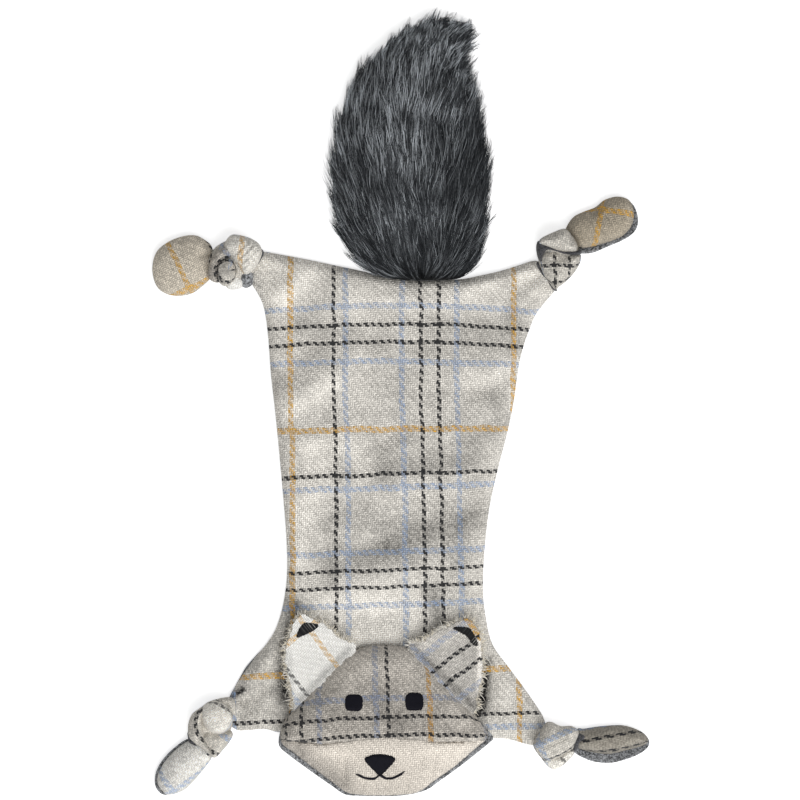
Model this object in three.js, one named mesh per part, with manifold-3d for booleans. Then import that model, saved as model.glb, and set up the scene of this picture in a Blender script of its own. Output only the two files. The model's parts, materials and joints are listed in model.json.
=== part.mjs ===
// Flat plush dog toy in the shape of an animal pelt, lying on a level surface.
// Units are millimetres. X runs across the toy, Y from the chin to the tip of the tail, Z up.
// The origin is on the surface, under the middle of the toy.

import * as THREE from 'three';
import { mergeVertices } from 'three/addons/utils/BufferGeometryUtils.js';
import Module from 'manifold-3d';

const wasm = await Module();
wasm.setup();

// Cloth and sewing

const clearance = 0.3;
const overrun = 4;
const wool = 1.6;
const felt = 1.4;
const seamAllowance = 5;
const threadWidth = 0.8;
const embroidery = 0.7;
const groundFlat = 0.5;

// Torso, a flat sleeve of tartan wool over felt, with a crinkle sheet inside

const torsoLength = 232;
const torsoWidth = 145;
const torsoHeight = 8.4;
const torsoRim = 3.4;
const torsoLip = 0.8;
const neckHeight = 5.8;
const rearHeight = 4.6;
const crinkleSheet = 0.4;
const crinkleMargin = 1.2;

// Legs, each gathered into a knot, with a loose paw beyond it

const legTipWidth = 15;
const knotRadius = 12.3;
const pawLength = 32;
const pawWidth = 22;
const pawHeight = 13;
const pawLip = 0.8;
const pawHingeHeight = 8;
const pawHingeRadius = 4.2;
const swingAngle = 45;

// Head, a pillow sewn to the front edge of the torso

const headWidth = 109;
const headLength = 76.5;
const headHeight = 16;
const headRimLift = 1.5;
const headLip = 1.6;
const neckThreadLength = 88;

// Face and ears

const eyeWidth = 9;
const eyeHeight = 8.8;
const noseWidth = 15.3;
const noseHeight = 10.7;
const mouthWidth = 23;
const mouthDrop = 2.2;
const mouthThread = 1.4;
const earHeight = 32;
const earThickness = 2.4;

// Tail, a bag of long-piled fur

const tailLength = 138;
const tailWidth = 81.6;
const tailHeight = 25;
const tailRootLip = 1.2;
const pile = 6.5;

// Squeakers, a moulded bulb with a reed in its mouth

const squeakerRadius = 13;
const squeakerHeight = 7;
const squeakerWall = 0.8;
const squeakerEdge = 1.6;
const reedRadius = 3.2;
const reedHeight = 2.6;
const reedBore = 1.1;

// Shares of a pillow's width and height that shape its crown, underside and rim

const crownPower = 2.4;
const bottomShares = [[0, 0], [0.2, 1], [0.8, 1], [1, 0]];
const rimShare = 0.4;

// Numbers of facets. A ball has a multiple of four round it and an even number of rows, so that
// it reaches its full height

const topSteps = 8;
const roundSteps = 16;
const ballSteps = 8;
const ballRows = 6;
const bandSteps = 7;
const bandSides = 6;
const mouthSteps = 12;

// Colours and finishes

const finishes = {
  tartan: { color: '#c4bfb5', roughness: 0.95, metalness: 0 },
  cream: { color: '#d8d0c4', roughness: 0.95, metalness: 0 },
  felt: { color: '#8b8f98', roughness: 0.97, metalness: 0 },
  fur: { color: '#41464c', roughness: 0.85, metalness: 0 },
  darkThread: { color: '#16171d', roughness: 0.6, metalness: 0 },
  paleThread: { color: '#b9b4aa', roughness: 0.7, metalness: 0 },
  wadding: { color: '#f1efe9', roughness: 1, metalness: 0 },
  film: { color: '#dfe3e6', roughness: 0.35, metalness: 0 },
  plastic: { color: '#e9e9e4', roughness: 0.4, metalness: 0 },
};

// Solids: lofts through rings of points, raised outlines and turned profiles

// Turns a geometry into a solid, with its faces pointing out
function solid(geometry) {
  const bare = geometry.clone();
  bare.deleteAttribute('normal');
  bare.deleteAttribute('uv');
  const merged = mergeVertices(bare);
  const vertProperties = Float32Array.from(merged.attributes.position.array);
  const triVerts = Uint32Array.from(merged.index.array);
  const shape = new wasm.Manifold(new wasm.Mesh({ numProp: 3, vertProperties, triVerts }));
  if (shape.volume() > 0) {
    return shape;
  }
  triVerts.reverse();
  return new wasm.Manifold(new wasm.Mesh({ numProp: 3, vertProperties, triVerts }));
}

function geometryOf(shape) {
  const { vertProperties, triVerts } = shape.getMesh();
  const geometry = new THREE.BufferGeometry();
  geometry.setAttribute('position', new THREE.BufferAttribute(vertProperties, 3));
  geometry.setIndex(new THREE.BufferAttribute(triVerts, 1));
  geometry.computeVertexNormals();
  return geometry;
}

// Joins rings of equal count into one closed solid, with a fan over each end
function loft(rings) {
  const count = rings[0].length;
  const points = rings.flat();
  const faces = [];
  for (let row = 0; row < rings.length - 1; row += 1) {
    for (let column = 0; column < count; column += 1) {
      const here = row * count + column;
      const next = row * count + (column + 1) % count;
      faces.push(here, next, next + count, here, next + count, here + count);
    }
  }
  [0, rings.length - 1].forEach((row) => {
    const middle = new THREE.Vector3();
    rings[row].forEach((point) => middle.addScaledVector(point, 1 / count));
    points.push(middle);
    for (let column = 0; column < count; column += 1) {
      const here = row * count + column;
      const next = row * count + (column + 1) % count;
      faces.push(points.length - 1, row ? here : next, row ? next : here);
    }
  });
  const geometry = new THREE.BufferGeometry().setFromPoints(points);
  geometry.setIndex(faces);
  return solid(geometry);
}

// One ring of a pillow: a and b are its two edges seen from above, low and high its lowest and
// highest level, and rimLow and rimHigh the levels of the two corners of its edges
function pillowRing({ a, b, low, high, rimLow, rimHigh }) {
  const ring = [];
  for (let step = 0; step <= topSteps; step += 1) {
    const place = a.clone().lerp(b, step / topSteps);
    const crown = 1 - Math.abs((2 * step) / topSteps - 1) ** crownPower;
    ring.push(new THREE.Vector3(place.x, place.y, rimHigh + (high - rimHigh) * crown));
  }
  [...bottomShares].reverse().forEach(([acrossShare, depthShare]) => {
    const place = a.clone().lerp(b, acrossShare);
    ring.push(new THREE.Vector3(place.x, place.y, rimLow - (rimLow - low) * depthShare));
  });
  return ring;
}

function pillow(rows) {
  return loft(rows.map(pillowRing));
}

// Rows drawn in on both sides by an inset, or let out where the inset is negative
function drawnIn(rows, inset) {
  return rows.map((row) => {
    const across = row.b.clone().sub(row.a).normalize();
    const a = row.a.clone().addScaledVector(across, inset);
    const b = row.b.clone().addScaledVector(across, -inset);
    return { ...row, a, b };
  });
}

// Rows whose first and last are moved towards each other, each by the same distance
function shortened(rows, distance) {
  const toEnd = rows.at(-1).a.clone().sub(rows[0].a);
  const shift = new THREE.Vector2(0, Math.sign(toEnd.y) * distance);
  const move = (row, by) => ({ ...row, a: row.a.clone().add(by), b: row.b.clone().add(by) });
  const back = shift.clone().negate();
  return [move(rows[0], shift), ...rows.slice(1, -1), move(rows.at(-1), back)];
}

// The level of the seam between the upper and the lower cloth of a row
function seamLevel(row) {
  return row.rimLow + (row.rimHigh - row.rimLow) * rimShare;
}

// The upper and the lower half of a pillow, which meet at the seam with a clearance between them
function upperHalf(rows) {
  return pillow(rows.map((row) => {
    const level = seamLevel(row) + clearance;
    return { ...row, low: level, rimLow: level };
  }));
}

function lowerHalf(rows) {
  return pillow(rows.map((row) => ({ ...row, high: seamLevel(row), rimHigh: seamLevel(row) })));
}

// The inside of a pillow whose cloths have the given thicknesses, wide enough across its seam
// for both halves to be open. The play is left free all round
function pillowSpace(rows, upperCloth, lowerCloth, inset, play) {
  const inside = drawnIn(rows, inset + play).map((row) => ({
    ...row,
    low: row.low + lowerCloth + play,
    high: row.high - upperCloth - play,
    rimLow: seamLevel(row) - clearance + play,
    rimHigh: seamLevel(row) + 2 * clearance - play / 2,
  }));
  return pillow(shortened(inside, play));
}

// Everything between two levels, wide enough for the whole toy
const reach = torsoLength + tailLength + headLength;

function slab(low, high) {
  const geometry = new THREE.BoxGeometry(2 * reach, 2 * reach, high - low);
  return solid(geometry.translate(0, 0, (low + high) / 2));
}

// Everything in front of a line across the toy, towards the chin
function frontOf(y) {
  const geometry = new THREE.BoxGeometry(2 * reach, reach, reach);
  return solid(geometry.translate(0, y - reach / 2, 0));
}

// An outline seen from above, raised between two levels
function prism(outline, low, high) {
  const shape = new THREE.Shape(outline);
  const geometry = new THREE.ExtrudeGeometry(shape, { depth: high - low, bevelEnabled: false });
  return solid(geometry.translate(0, 0, low));
}

// A profile of radii and levels, turned about an upright axis
function turned(profile, place) {
  const points = profile.map(([radius, level]) => new THREE.Vector2(radius, level));
  const geometry = new THREE.LatheGeometry(points, roundSteps).rotateX(Math.PI / 2);
  return solid(geometry.translate(place.x, place.y, place.z));
}

// A round bar between two points
function bar(start, end, radius, sides) {
  const along = end.clone().sub(start);
  const geometry = new THREE.CylinderGeometry(radius, radius, along.length(), sides);
  const upright = new THREE.Vector3(0, 1, 0);
  geometry.applyQuaternion(new THREE.Quaternion().setFromUnitVectors(upright, along.normalize()));
  const middle = start.clone().lerp(end, 1 / 2);
  return solid(geometry.translate(middle.x, middle.y, middle.z));
}

function heading(angle) {
  const radians = THREE.MathUtils.degToRad(angle);
  return new THREE.Vector2(Math.cos(radians), Math.sin(radians));
}

function aside(direction) {
  return new THREE.Vector2(-direction.y, direction.x);
}

function raised(point, level) {
  return new THREE.Vector3(point.x, point.y, level);
}

// The corners of a round section about the origin
function round(radius, sides) {
  return Array.from({ length: sides }, (_, index) => (
    heading((360 * index) / sides).multiplyScalar(radius)));
}

// Scene graph: hinged groups and the meshes that they carry

const toy = new THREE.Group();
toy.name = 'dog_toy';

// A group whose own X axis is a hinge line, which points along axis, seen from above
function hinge(name, parent, point, axis) {
  const pivot = new THREE.Group();
  pivot.name = name;
  pivot.position.copy(point);
  pivot.rotation.z = axis.angle();
  toy.add(pivot);
  toy.updateMatrixWorld(true);
  parent.attach(pivot);
  return pivot;
}

// Adds a solid to a group. The solid is given where it lies in the whole toy
function piece(name, shape, finish, parent = toy) {
  const mesh = new THREE.Mesh(geometryOf(shape), new THREE.MeshStandardMaterial(finish));
  mesh.name = name;
  toy.add(mesh);
  toy.updateMatrixWorld(true);
  parent.attach(mesh);
}

// Squeaker: a hollow bulb with its mouth below, and a reed plug in the mouth

function squeakerProfile() {
  const edge = squeakerRadius - squeakerEdge;
  const inner = squeakerRadius - squeakerWall;
  const mouth = reedRadius + clearance;
  const top = squeakerHeight;
  return [
    [0, top],
    [edge, top],
    [squeakerRadius, top - squeakerEdge],
    [squeakerRadius, squeakerEdge],
    [edge, 0],
    [mouth, 0],
    [mouth, squeakerWall],
    [edge, squeakerWall],
    [inner, squeakerEdge],
    [inner, top - squeakerEdge],
    [edge, top - squeakerWall],
    [0, top - squeakerWall],
  ];
}

function addSqueaker(name, place, parent) {
  const reed = [
    [reedBore, 0],
    [reedRadius, 0],
    [reedRadius, reedHeight],
    [reedBore, reedHeight],
    [reedBore, 0],
  ];
  piece(`${name}_squeaker_bulb`, turned(squeakerProfile(), place), finishes.plastic, parent);
  piece(`${name}_squeaker_reed`, turned(reed, place), finishes.plastic, parent);
}

// The pocket in a filling that a squeaker lies in, open below
function squeakerPocket(place) {
  const bottom = raised(place, place.z - overrun);
  const top = raised(place, place.z + squeakerHeight + clearance);
  return bar(bottom, top, squeakerRadius + 2 * clearance, roundSteps);
}

// Torso

const sheetBase = felt + 2 * clearance;
const sheetTop = sheetBase + crinkleSheet;

// A place on the torso, from the middle of its rear edge, towards the right and the neck
function onTorso([xShare, yShare]) {
  return new THREE.Vector2(xShare * torsoWidth, -yShare * torsoLength);
}

// Rows from the rear edge to the head: distance, left edge, right edge and height
const torsoShares = [
  [0, -0.464, 0.475, 0.55],
  [0.05, -0.478, 0.49, 0.72],
  [0.11, -0.464, 0.457, 0.88],
  [0.2, -0.45, 0.412, 1],
  [0.33, -0.436, 0.383, 1],
  [0.47, -0.412, 0.331, 1],
  [0.58, -0.397, 0.302, 1],
  [0.67, -0.401, 0.292, 0.95],
  [0.735, -0.419, 0.299, 0.85],
];

// Rows under the head, all at the height of the neck: distance, left edge and right edge
const neckShares = [
  [0.78, -0.454, 0.317],
  [0.825, -0.505, 0.355],
  [0.87, -0.545, 0.412],
  [0.92, -0.535, 0.44],
  [0.96, -0.485, 0.422],
  [1, -0.404, 0.352],
];

function torsoRow([yShare, leftShare, rightShare], high) {
  const a = onTorso([leftShare, yShare]);
  const b = onTorso([rightShare, yShare]);
  return { a, b, low: 0, high, rimLow: 0, rimHigh: Math.min(torsoRim, high) };
}

const rearRow = torsoRow(torsoShares[0], rearHeight);
const torsoRows = [
  rearRow,
  ...torsoShares.slice(1).map((shares) => torsoRow(shares, shares[3] * torsoHeight)),
  ...neckShares.map((shares) => torsoRow(shares, neckHeight)),
];

const endAngles = [45, 75].map((angle) => THREE.MathUtils.degToRad(angle));

// The rounded end past a row, about the level line through the middle of its height
function roundedEnd(row, outward) {
  const middle = (row.low + row.high) / 2;
  const radius = (row.high - row.low) / 2;
  return endAngles.map((angle) => {
    const half = radius * Math.cos(angle);
    const shift = outward.clone().multiplyScalar(radius * Math.sin(angle));
    const a = row.a.clone().add(shift);
    const b = row.b.clone().add(shift);
    const rimHalf = half * rimShare;
    const levels = { low: middle - half, high: middle + half };
    return { a, b, ...levels, rimLow: middle - rimHalf, rimHigh: middle + rimHalf };
  });
}

// Legs: the rear and front edges of three rows from the torso to the tip, the heights of these
// rows, the place of the tip, the ways that the leg, its knot and its paw point, the side to
// which the knot turns, and the size of the paw
const legs = [
  {
    name: 'rear_left',
    edgeShares: [
      [[-0.165, 0], [-0.454, 0.152]],
      [[-0.24, -0.037], [-0.475, 0.081]],
      [[-0.39, -0.058], [-0.489, 0.03]],
    ],
    heightShares: [0.86, 0.84, 0.9],
    tipShares: [-0.485, -0.03],
    legAngle: 164,
    knotAngle: 175,
    pawAngle: 181,
    turn: -1,
    pawLengthShare: 0.83,
    pawWidthShare: 1.4,
  },
  {
    name: 'rear_right',
    edgeShares: [
      [[0.28, 0], [0.429, 0.152]],
      [[0.341, -0.018], [0.471, 0.086]],
      [[0.394, -0.031], [0.496, 0.051]],
    ],
    heightShares: [0.86, 0.84, 0.9],
    tipShares: [0.492, -0.0105],
    legAngle: 45,
    knotAngle: -30,
    pawAngle: 36,
    turn: 1,
    pawLengthShare: 1.03,
    pawWidthShare: 1.03,
  },
  {
    name: 'front_left',
    edgeShares: [
      [[-0.45, 0.776], [-0.246, 0.998]],
      [[-0.503, 0.82], [-0.38, 0.996]],
      [[-0.549, 0.864], [-0.485, 0.988]],
    ],
    heightShares: [0.67, 0.67, 0.84],
    tipShares: [-0.583, 0.9415],
    legAngle: 215,
    knotAngle: 200,
    pawAngle: 231,
    turn: -1,
    pawLengthShare: 0.9,
    pawWidthShare: 0.97,
  },
  {
    name: 'front_right',
    edgeShares: [
      [[0.324, 0.796], [0.141, 0.998]],
      [[0.373, 0.837], [0.264, 0.996]],
      [[0.433, 0.89], [0.362, 1]],
    ],
    heightShares: [0.67, 0.67, 0.84],
    tipShares: [0.47, 0.981],
    legAngle: -35,
    knotAngle: -35,
    pawAngle: 0,
    turn: 1,
    pawLengthShare: 1,
    pawWidthShare: 0.9,
  },
];

const legTipRadius = torsoHeight / 2;

function legRows(leg) {
  const rows = leg.edgeShares.map(([rear, front], index) => ({
    a: onTorso(rear),
    b: onTorso(front),
    low: 0,
    high: leg.heightShares[index] * torsoHeight,
    rimLow: 0,
    rimHigh: torsoRim,
  }));
  const outward = heading(leg.legAngle);
  const across = aside(outward);
  const toRear = across.multiplyScalar((Math.sign(across.y) * legTipWidth) / 2);
  const tip = onTorso(leg.tipShares);
  const tipRow = {
    a: tip.clone().add(toRear),
    b: tip.clone().sub(toRear),
    low: 0,
    high: 2 * legTipRadius,
    rimLow: legTipRadius * (1 - rimShare),
    rimHigh: legTipRadius * (1 + rimShare),
  };
  return [...rows, tipRow, ...roundedEnd(tipRow, outward)];
}

// The whole sleeve with its legs, let out by a lip
function torsoForm(lip) {
  const rearEnd = roundedEnd(rearRow, new THREE.Vector2(0, 1)).reverse();
  const sleeve = pillow(drawnIn([...rearEnd, ...torsoRows], -lip));
  return legs.reduce((form, leg) => form.add(pillow(drawnIn(legRows(leg), -lip))), sleeve);
}

// The space inside the sleeve, within the seam allowance and open below
function torsoSpace() {
  const rows = drawnIn(torsoRows, seamAllowance).map((row) => ({
    ...row,
    low: -overrun,
    high: row.high - wool,
    rimLow: -overrun,
    rimHigh: sheetTop + clearance,
  }));
  return pillow(shortened(rows, seamAllowance));
}

function crinkleForm() {
  const inset = seamAllowance + crinkleMargin;
  const levels = { low: sheetBase, high: sheetTop, rimLow: sheetBase, rimHigh: sheetTop };
  const rows = drawnIn(torsoRows, inset).map((row) => ({ ...row, ...levels }));
  return pillow(shortened(rows, inset));
}

function addTorso() {
  const front = torsoForm(0).subtract(slab(-overrun, felt + clearance)).subtract(torsoSpace());
  const back = torsoForm(torsoLip).intersect(slab(-overrun, felt));
  piece('torso_front_panel', front, finishes.tartan);
  piece('torso_back_panel', back, finishes.felt);
  piece('crinkle_sheet', crinkleForm(), finishes.film);
}

// Knots and paws

// The turns of a knot: their places along the leg, across it and up, and their radii
const turnShares = [
  [[-0.34, 0.4, 0], [0.62, 0.66, 0.88]],
  [[0.32, -0.46, 0], [0.62, 0.62, 0.88]],
];
const bandShares = [
  [-0.5, -0.72, -0.35],
  [-0.42, -0.6, 0.25],
  [-0.12, -0.05, 0.6],
  [0.3, 0.56, 0.3],
  [0.45, 0.72, -0.3],
];
const bandRadiusShare = 0.34;
const coreShare = 0.88;

const knotLevel = coreShare * knotRadius - groundFlat;

// The level distance between a knot and a hinge whose rounded end it touches
function knotDistance(hingeLevel, endRadius) {
  const slope = coreShare * knotRadius + clearance + endRadius;
  return Math.sqrt(slope ** 2 - (knotLevel - hingeLevel) ** 2);
}

function knotForm(leg, centre) {
  const radians = THREE.MathUtils.degToRad(leg.knotAngle);
  const ball = (place, radii) => {
    const geometry = new THREE.SphereGeometry(1, ballSteps, ballRows);
    geometry.scale(...radii.map((share) => share * knotRadius));
    geometry.translate(place[0] * knotRadius, place[1] * leg.turn * knotRadius, place[2] * knotRadius);
    return solid(geometry.rotateZ(radians).translate(centre.x, centre.y, centre.z));
  };
  const route = bandShares.map(([along, across, up]) => {
    const point = new THREE.Vector3(along, across * leg.turn, up).multiplyScalar(knotRadius);
    return point.applyAxisAngle(new THREE.Vector3(0, 0, 1), radians).add(centre);
  });
  const section = new THREE.Shape(round(bandRadiusShare * knotRadius, bandSides));
  const band = new THREE.ExtrudeGeometry(section, {
    steps: bandSteps,
    extrudePath: new THREE.CatmullRomCurve3(route),
  });
  const core = ball([0, 0, 0], [coreShare, coreShare, coreShare]);
  const turns = turnShares.map(([place, radii]) => ball(place, radii));
  return turns.reduce((form, turn) => form.add(turn), core).add(solid(band));
}

// Rows let out by the clearance on every side
function loosened(rows) {
  return drawnIn(rows, -clearance).map((row) => ({
    ...row,
    low: row.low - clearance,
    high: row.high + clearance,
    rimLow: row.rimLow - clearance,
    rimHigh: row.rimHigh + clearance,
  }));
}

// The room that a limb sweeps as it swings down and up about a level line through a point. The
// line lies square to the limb's way, and the limb's end is rounded about it
function swingRoom(rows, point, way, radius) {
  const across = raised(aside(way), 0);
  const half = across.clone().multiplyScalar(2 * knotRadius);
  const ends = [point.clone().sub(half), point.clone().add(half)];
  const start = bar(...ends, radius + clearance, roundSteps);
  return [-1, 0, 1].reduce((room, share) => {
    const angle = THREE.MathUtils.degToRad(share * swingAngle);
    const swing = (place) => place.sub(point).applyAxisAngle(across, angle).add(point);
    return room.add(loft(loosened(rows).map(pillowRing).map((ring) => ring.map(swing))));
  }, start);
}

// Rows of a paw: distance from its hinge, width, lowest and highest level
const pawShares = [
  [0.12, 0.72, 0.15, 0.98],
  [0.3, 0.9, 0.03, 1],
  [0.5, 1, 0, 1],
  [0.7, 0.95, 0, 0.94],
  [0.85, 0.76, 0.03, 0.8],
  [0.95, 0.5, 0.11, 0.62],
  [1, 0.26, 0.2, 0.45],
];
const pawRootShare = 0.62;

function pawRows(leg, root) {
  const outward = heading(leg.pawAngle);
  const length = pawLength * leg.pawLengthShare;
  const width = pawWidth * leg.pawWidthShare;
  const row = (distance, widthShare, low, high) => {
    const place = root.clone().addScaledVector(outward, distance);
    const half = aside(outward).multiplyScalar((widthShare * width) / 2);
    const rimLow = low + (high - low) * rimShare * rimShare;
    const rimHigh = low + (high - low) * (1 - rimShare);
    return { a: place.clone().add(half), b: place.clone().sub(half), low, high, rimLow, rimHigh };
  };
  const lowest = pawHingeHeight - pawHingeRadius;
  const hingeRow = row(0, pawRootShare, lowest, pawHingeHeight + pawHingeRadius);
  const body = pawShares.map(([distanceShare, widthShare, lowShare, highShare]) => (
    row(distanceShare * length, widthShare, lowShare * pawHeight, highShare * pawHeight)));
  return [...roundedEnd(hingeRow, outward.clone().negate()).reverse(), hingeRow, ...body];
}

function addLeg(leg) {
  const legWay = heading(leg.legAngle);
  const pawWay = heading(leg.pawAngle);
  const tip = raised(onTorso(leg.tipShares), legTipRadius);
  const knotReach = knotDistance(legTipRadius, legTipRadius);
  const centre = raised(onTorso(leg.tipShares).addScaledVector(legWay, knotReach), knotLevel);
  const pawReach = knotDistance(pawHingeHeight, pawHingeRadius);
  const root = new THREE.Vector2(centre.x, centre.y).addScaledVector(pawWay, pawReach);
  const rootPoint = raised(root, pawHingeHeight);
  const rows = pawRows(leg, root);
  const knot = knotForm(leg, centre)
    .subtract(slab(-reach, 0))
    .subtract(swingRoom(legRows(leg), tip, legWay, legTipRadius))
    .subtract(swingRoom(rows, rootPoint, pawWay, pawHingeRadius));
  const knotPivot = hinge(`knot_hinge_${leg.name}`, toy, tip, aside(legWay).negate());
  const pawPivot = hinge(`paw_hinge_${leg.name}`, knotPivot, rootPoint, aside(pawWay).negate());
  piece(`knot_${leg.name}`, knot, finishes.tartan, knotPivot);
  piece(`paw_front_${leg.name}`, upperHalf(rows), finishes.tartan, pawPivot);
  piece(`paw_back_${leg.name}`, lowerHalf(drawnIn(rows, -pawLip)), finishes.felt, pawPivot);
}

// Head

const neckLevel = neckHeight + clearance + threadWidth / 2;
const headBase = neckLevel + threadWidth / 2 + clearance;
const headShiftShare = -0.042;
const neck = onTorso([headShiftShare, 1]);

// A place on the head, from the middle of the neck, towards the right and the forehead
function onHead([xShare, yShare]) {
  return new THREE.Vector2(neck.x + xShare * headWidth, neck.y + yShare * headLength);
}

// Rows from the chin to the top of the forehead: distance, left edge, right edge and height
const headShares = [
  [-0.38, -0.178, 0.112, 0.3],
  [-0.333, -0.22, 0.164, 0.45],
  [-0.247, -0.304, 0.257, 0.65],
  [-0.147, -0.397, 0.364, 0.82],
  [-0.047, -0.491, 0.463, 0.93],
  [0.04, -0.5, 0.477, 0.98],
  [0.133, -0.472, 0.421, 1],
  [0.213, -0.43, 0.369, 1],
  [0.32, -0.355, 0.294, 0.95],
  [0.44, -0.271, 0.21, 0.82],
  [0.54, -0.2, 0.14, 0.62],
  [0.6, -0.159, 0.098, 0.45],
  [0.62, -0.12, 0.075, 0.3],
];
const squeakerShares = [0, 0.2];

// The head's underside rises where its height is less than the first of these shares, and the
// head is hollow where its height is at least the second
const fullShare = 0.8;
const hollowShare = 0.6;

const headRim = felt + wool + clearance;

function headRow([yShare, leftShare, rightShare, heightShare]) {
  const rimLow = headBase + headRimLift;
  const lifted = Math.max(0, 1 - heightShare / fullShare);
  return {
    a: onHead([leftShare, yShare]),
    b: onHead([rightShare, yShare]),
    low: headBase + headRimLift * lifted,
    high: headBase + heightShare * headHeight,
    rimLow,
    rimHigh: rimLow + headRim,
    heightShare,
  };
}

const headRows = headShares.map(headRow);
const hollowHeadRows = headRows.filter((row) => row.heightShare >= hollowShare);

// The layer of thread that lies on the face, cut out by an outline
function stitched(outline) {
  const above = (lift) => pillow(headRows.map((row) => (
    { ...row, high: row.high + lift, rimHigh: row.rimHigh + lift })));
  const layer = above(clearance + embroidery).subtract(above(clearance));
  return layer.intersect(prism(outline, headBase + headRimLift + headRim, headBase + reach));
}

// An outline in widths and heights from its own middle
function patch(centre, width, height, shares) {
  return shares.map(([xShare, yShare]) => (
    centre.clone().add(new THREE.Vector2(xShare * width, yShare * height))));
}

// The places of the eyes, nose and mouth on the head, and the outlines of an eye and the nose
const eyePlaceShares = { left: [-0.159, 0.24], right: [0.123, 0.247] };
const nosePlaceShares = [-0.037, -0.17];
const mouthPlaceShares = [-0.037, -0.262];
const eyeShares = [
  [-0.47, -0.42],
  [-0.3, -0.49],
  [0.3, -0.49],
  [0.47, -0.42],
  [0.5, 0.05],
  [0.4, 0.32],
  [0.2, 0.47],
  [-0.2, 0.47],
  [-0.4, 0.32],
  [-0.5, 0.05],
];
const noseShares = [
  [0.06, -0.5],
  [0.25, -0.22],
  [0.42, 0.05],
  [0.5, 0.3],
  [0.3, 0.44],
  [0, 0.5],
  [-0.3, 0.44],
  [-0.5, 0.3],
  [-0.42, 0.05],
  [-0.25, -0.22],
  [-0.06, -0.5],
];

// The line of the mouth: two shallow bows that meet under the nose
function mouthOutline() {
  const middle = onHead(mouthPlaceShares);
  const edge = (side) => Array.from({ length: mouthSteps + 1 }, (_, index) => {
    const share = (2 * index) / mouthSteps - 1;
    const bow = Math.sin(Math.PI * Math.abs(share)) * (1 - Math.abs(share) / 2);
    const lift = share ** 2 - bow / 2;
    const x = (share * mouthWidth) / 2;
    return middle.clone().add(new THREE.Vector2(x, lift * mouthDrop + (side * mouthThread) / 2));
  });
  return [...edge(-1), ...edge(1).reverse()];
}

function addFace(pivot) {
  Object.entries(eyePlaceShares).forEach(([side, shares]) => {
    const outline = patch(onHead(shares), eyeWidth, eyeHeight, eyeShares);
    piece(`eye_${side}`, stitched(outline), finishes.darkThread, pivot);
  });
  const noseOutline = patch(onHead(nosePlaceShares), noseWidth, noseHeight, noseShares);
  piece('nose', stitched(noseOutline), finishes.darkThread, pivot);
  piece('mouth', stitched(mouthOutline()), finishes.darkThread, pivot);
}

// Ears: the two ends of the seam on the head, the outline along the seam and away from it, and
// the outline of the patch near the tip
const ears = [
  {
    name: 'left',
    seamShares: [[-0.159, 0.6], [-0.43, 0.213]],
    outlineShares: [
      [1, 0], [0.9, 0.24], [0.8, 0.42], [0.7, 0.63], [0.56, 0.79], [0.42, 0.88],
      [0.23, 1], [0.12, 0.95], [0.08, 0.8], [0.03, 0.55], [0.02, 0.26], [0, 0],
    ],
    patchShares: [[0.21, 0.8], [0.07, 0.62], [0.15, 0.62], [0.4, 0.71]],
  },
  {
    name: 'right',
    seamShares: [[0.098, 0.6], [0.369, 0.213]],
    outlineShares: [
      [1, 0], [0.88, 0.34], [0.77, 0.57], [0.6, 0.8], [0.4, 0.985],
      [0.18, 0.97], [0.14, 0.77], [0.06, 0.54], [0, 0],
    ],
    patchShares: [[0.17, 0.68], [0.26, 0.86], [0.35, 0.86], [0.53, 0.77], [0.4, 0.7], [0.28, 0.69]],
  },
];

function addEar(ear, headPivot) {
  const radius = earThickness / 2;
  const [top, bottom] = ear.seamShares.map(onHead);
  const along = bottom.clone().sub(top);
  const length = along.length();
  along.normalize();
  const away = aside(along);
  away.multiplyScalar(-Math.sign(away.dot(onHead([0, 0]).sub(top))));
  const start = top.clone().addScaledVector(away, radius + clearance);
  const level = headBase + headRimLift + headRim;
  const place = ([alongShare, awayShare]) => (
    start.clone().addScaledVector(along, alongShare * length).addScaledVector(away, awayShare * earHeight));
  const flap = prism(ear.outlineShares.map(place), level - radius, level + radius);
  const root = bar(raised(place([0, 0]), level), raised(place([1, 0]), level), radius, roundSteps);
  const patchBase = level + radius + clearance;
  const dark = prism(ear.patchShares.map(place), patchBase, patchBase + embroidery);
  const axis = aside(away).negate();
  const pivot = hinge(`ear_hinge_${ear.name}`, headPivot, raised(start, level), axis);
  piece(`ear_${ear.name}`, flap.add(root), finishes.tartan, pivot);
  piece(`ear_tip_${ear.name}`, dark, finishes.darkThread, pivot);
}

function addHead() {
  const axis = new THREE.Vector2(1, 0);
  const pivot = hinge('neck_hinge', toy, raised(neck, neckLevel), axis);
  const space = pillowSpace(hollowHeadRows, wool, felt, seamAllowance, 0);
  const upper = upperHalf(headRows).subtract(space);
  const lower = lowerHalf(drawnIn(headRows, -headLip)).subtract(space);
  const seamLine = neck.y - clearance / 2;
  piece('forehead_panel', upper.subtract(frontOf(seamLine + clearance)), finishes.tartan, pivot);
  piece('muzzle_panel', upper.intersect(frontOf(seamLine)), finishes.cream, pivot);
  piece('head_back_panel', lower, finishes.felt, pivot);
  const squeakerPlace = raised(onHead(squeakerShares), headBase + felt + clearance);
  const filling = pillowSpace(hollowHeadRows, wool, felt, seamAllowance, clearance);
  piece('head_filling', filling.subtract(squeakerPocket(squeakerPlace)), finishes.wadding, pivot);
  addSqueaker('head', squeakerPlace, pivot);
  addFace(pivot);
  ears.forEach((ear) => addEar(ear, pivot));
}

function addNeckThread() {
  const half = new THREE.Vector3(neckThreadLength / 2, 0, 0);
  const middle = raised(neck, neckLevel);
  const thread = bar(middle.clone().sub(half), middle.clone().add(half), threadWidth / 2, bandSides);
  piece('neck_seam_thread', thread, finishes.paleThread);
}

// Tail

const tailShiftShare = 0.049;
const tailRoot = onTorso([tailShiftShare, 0]);

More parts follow.
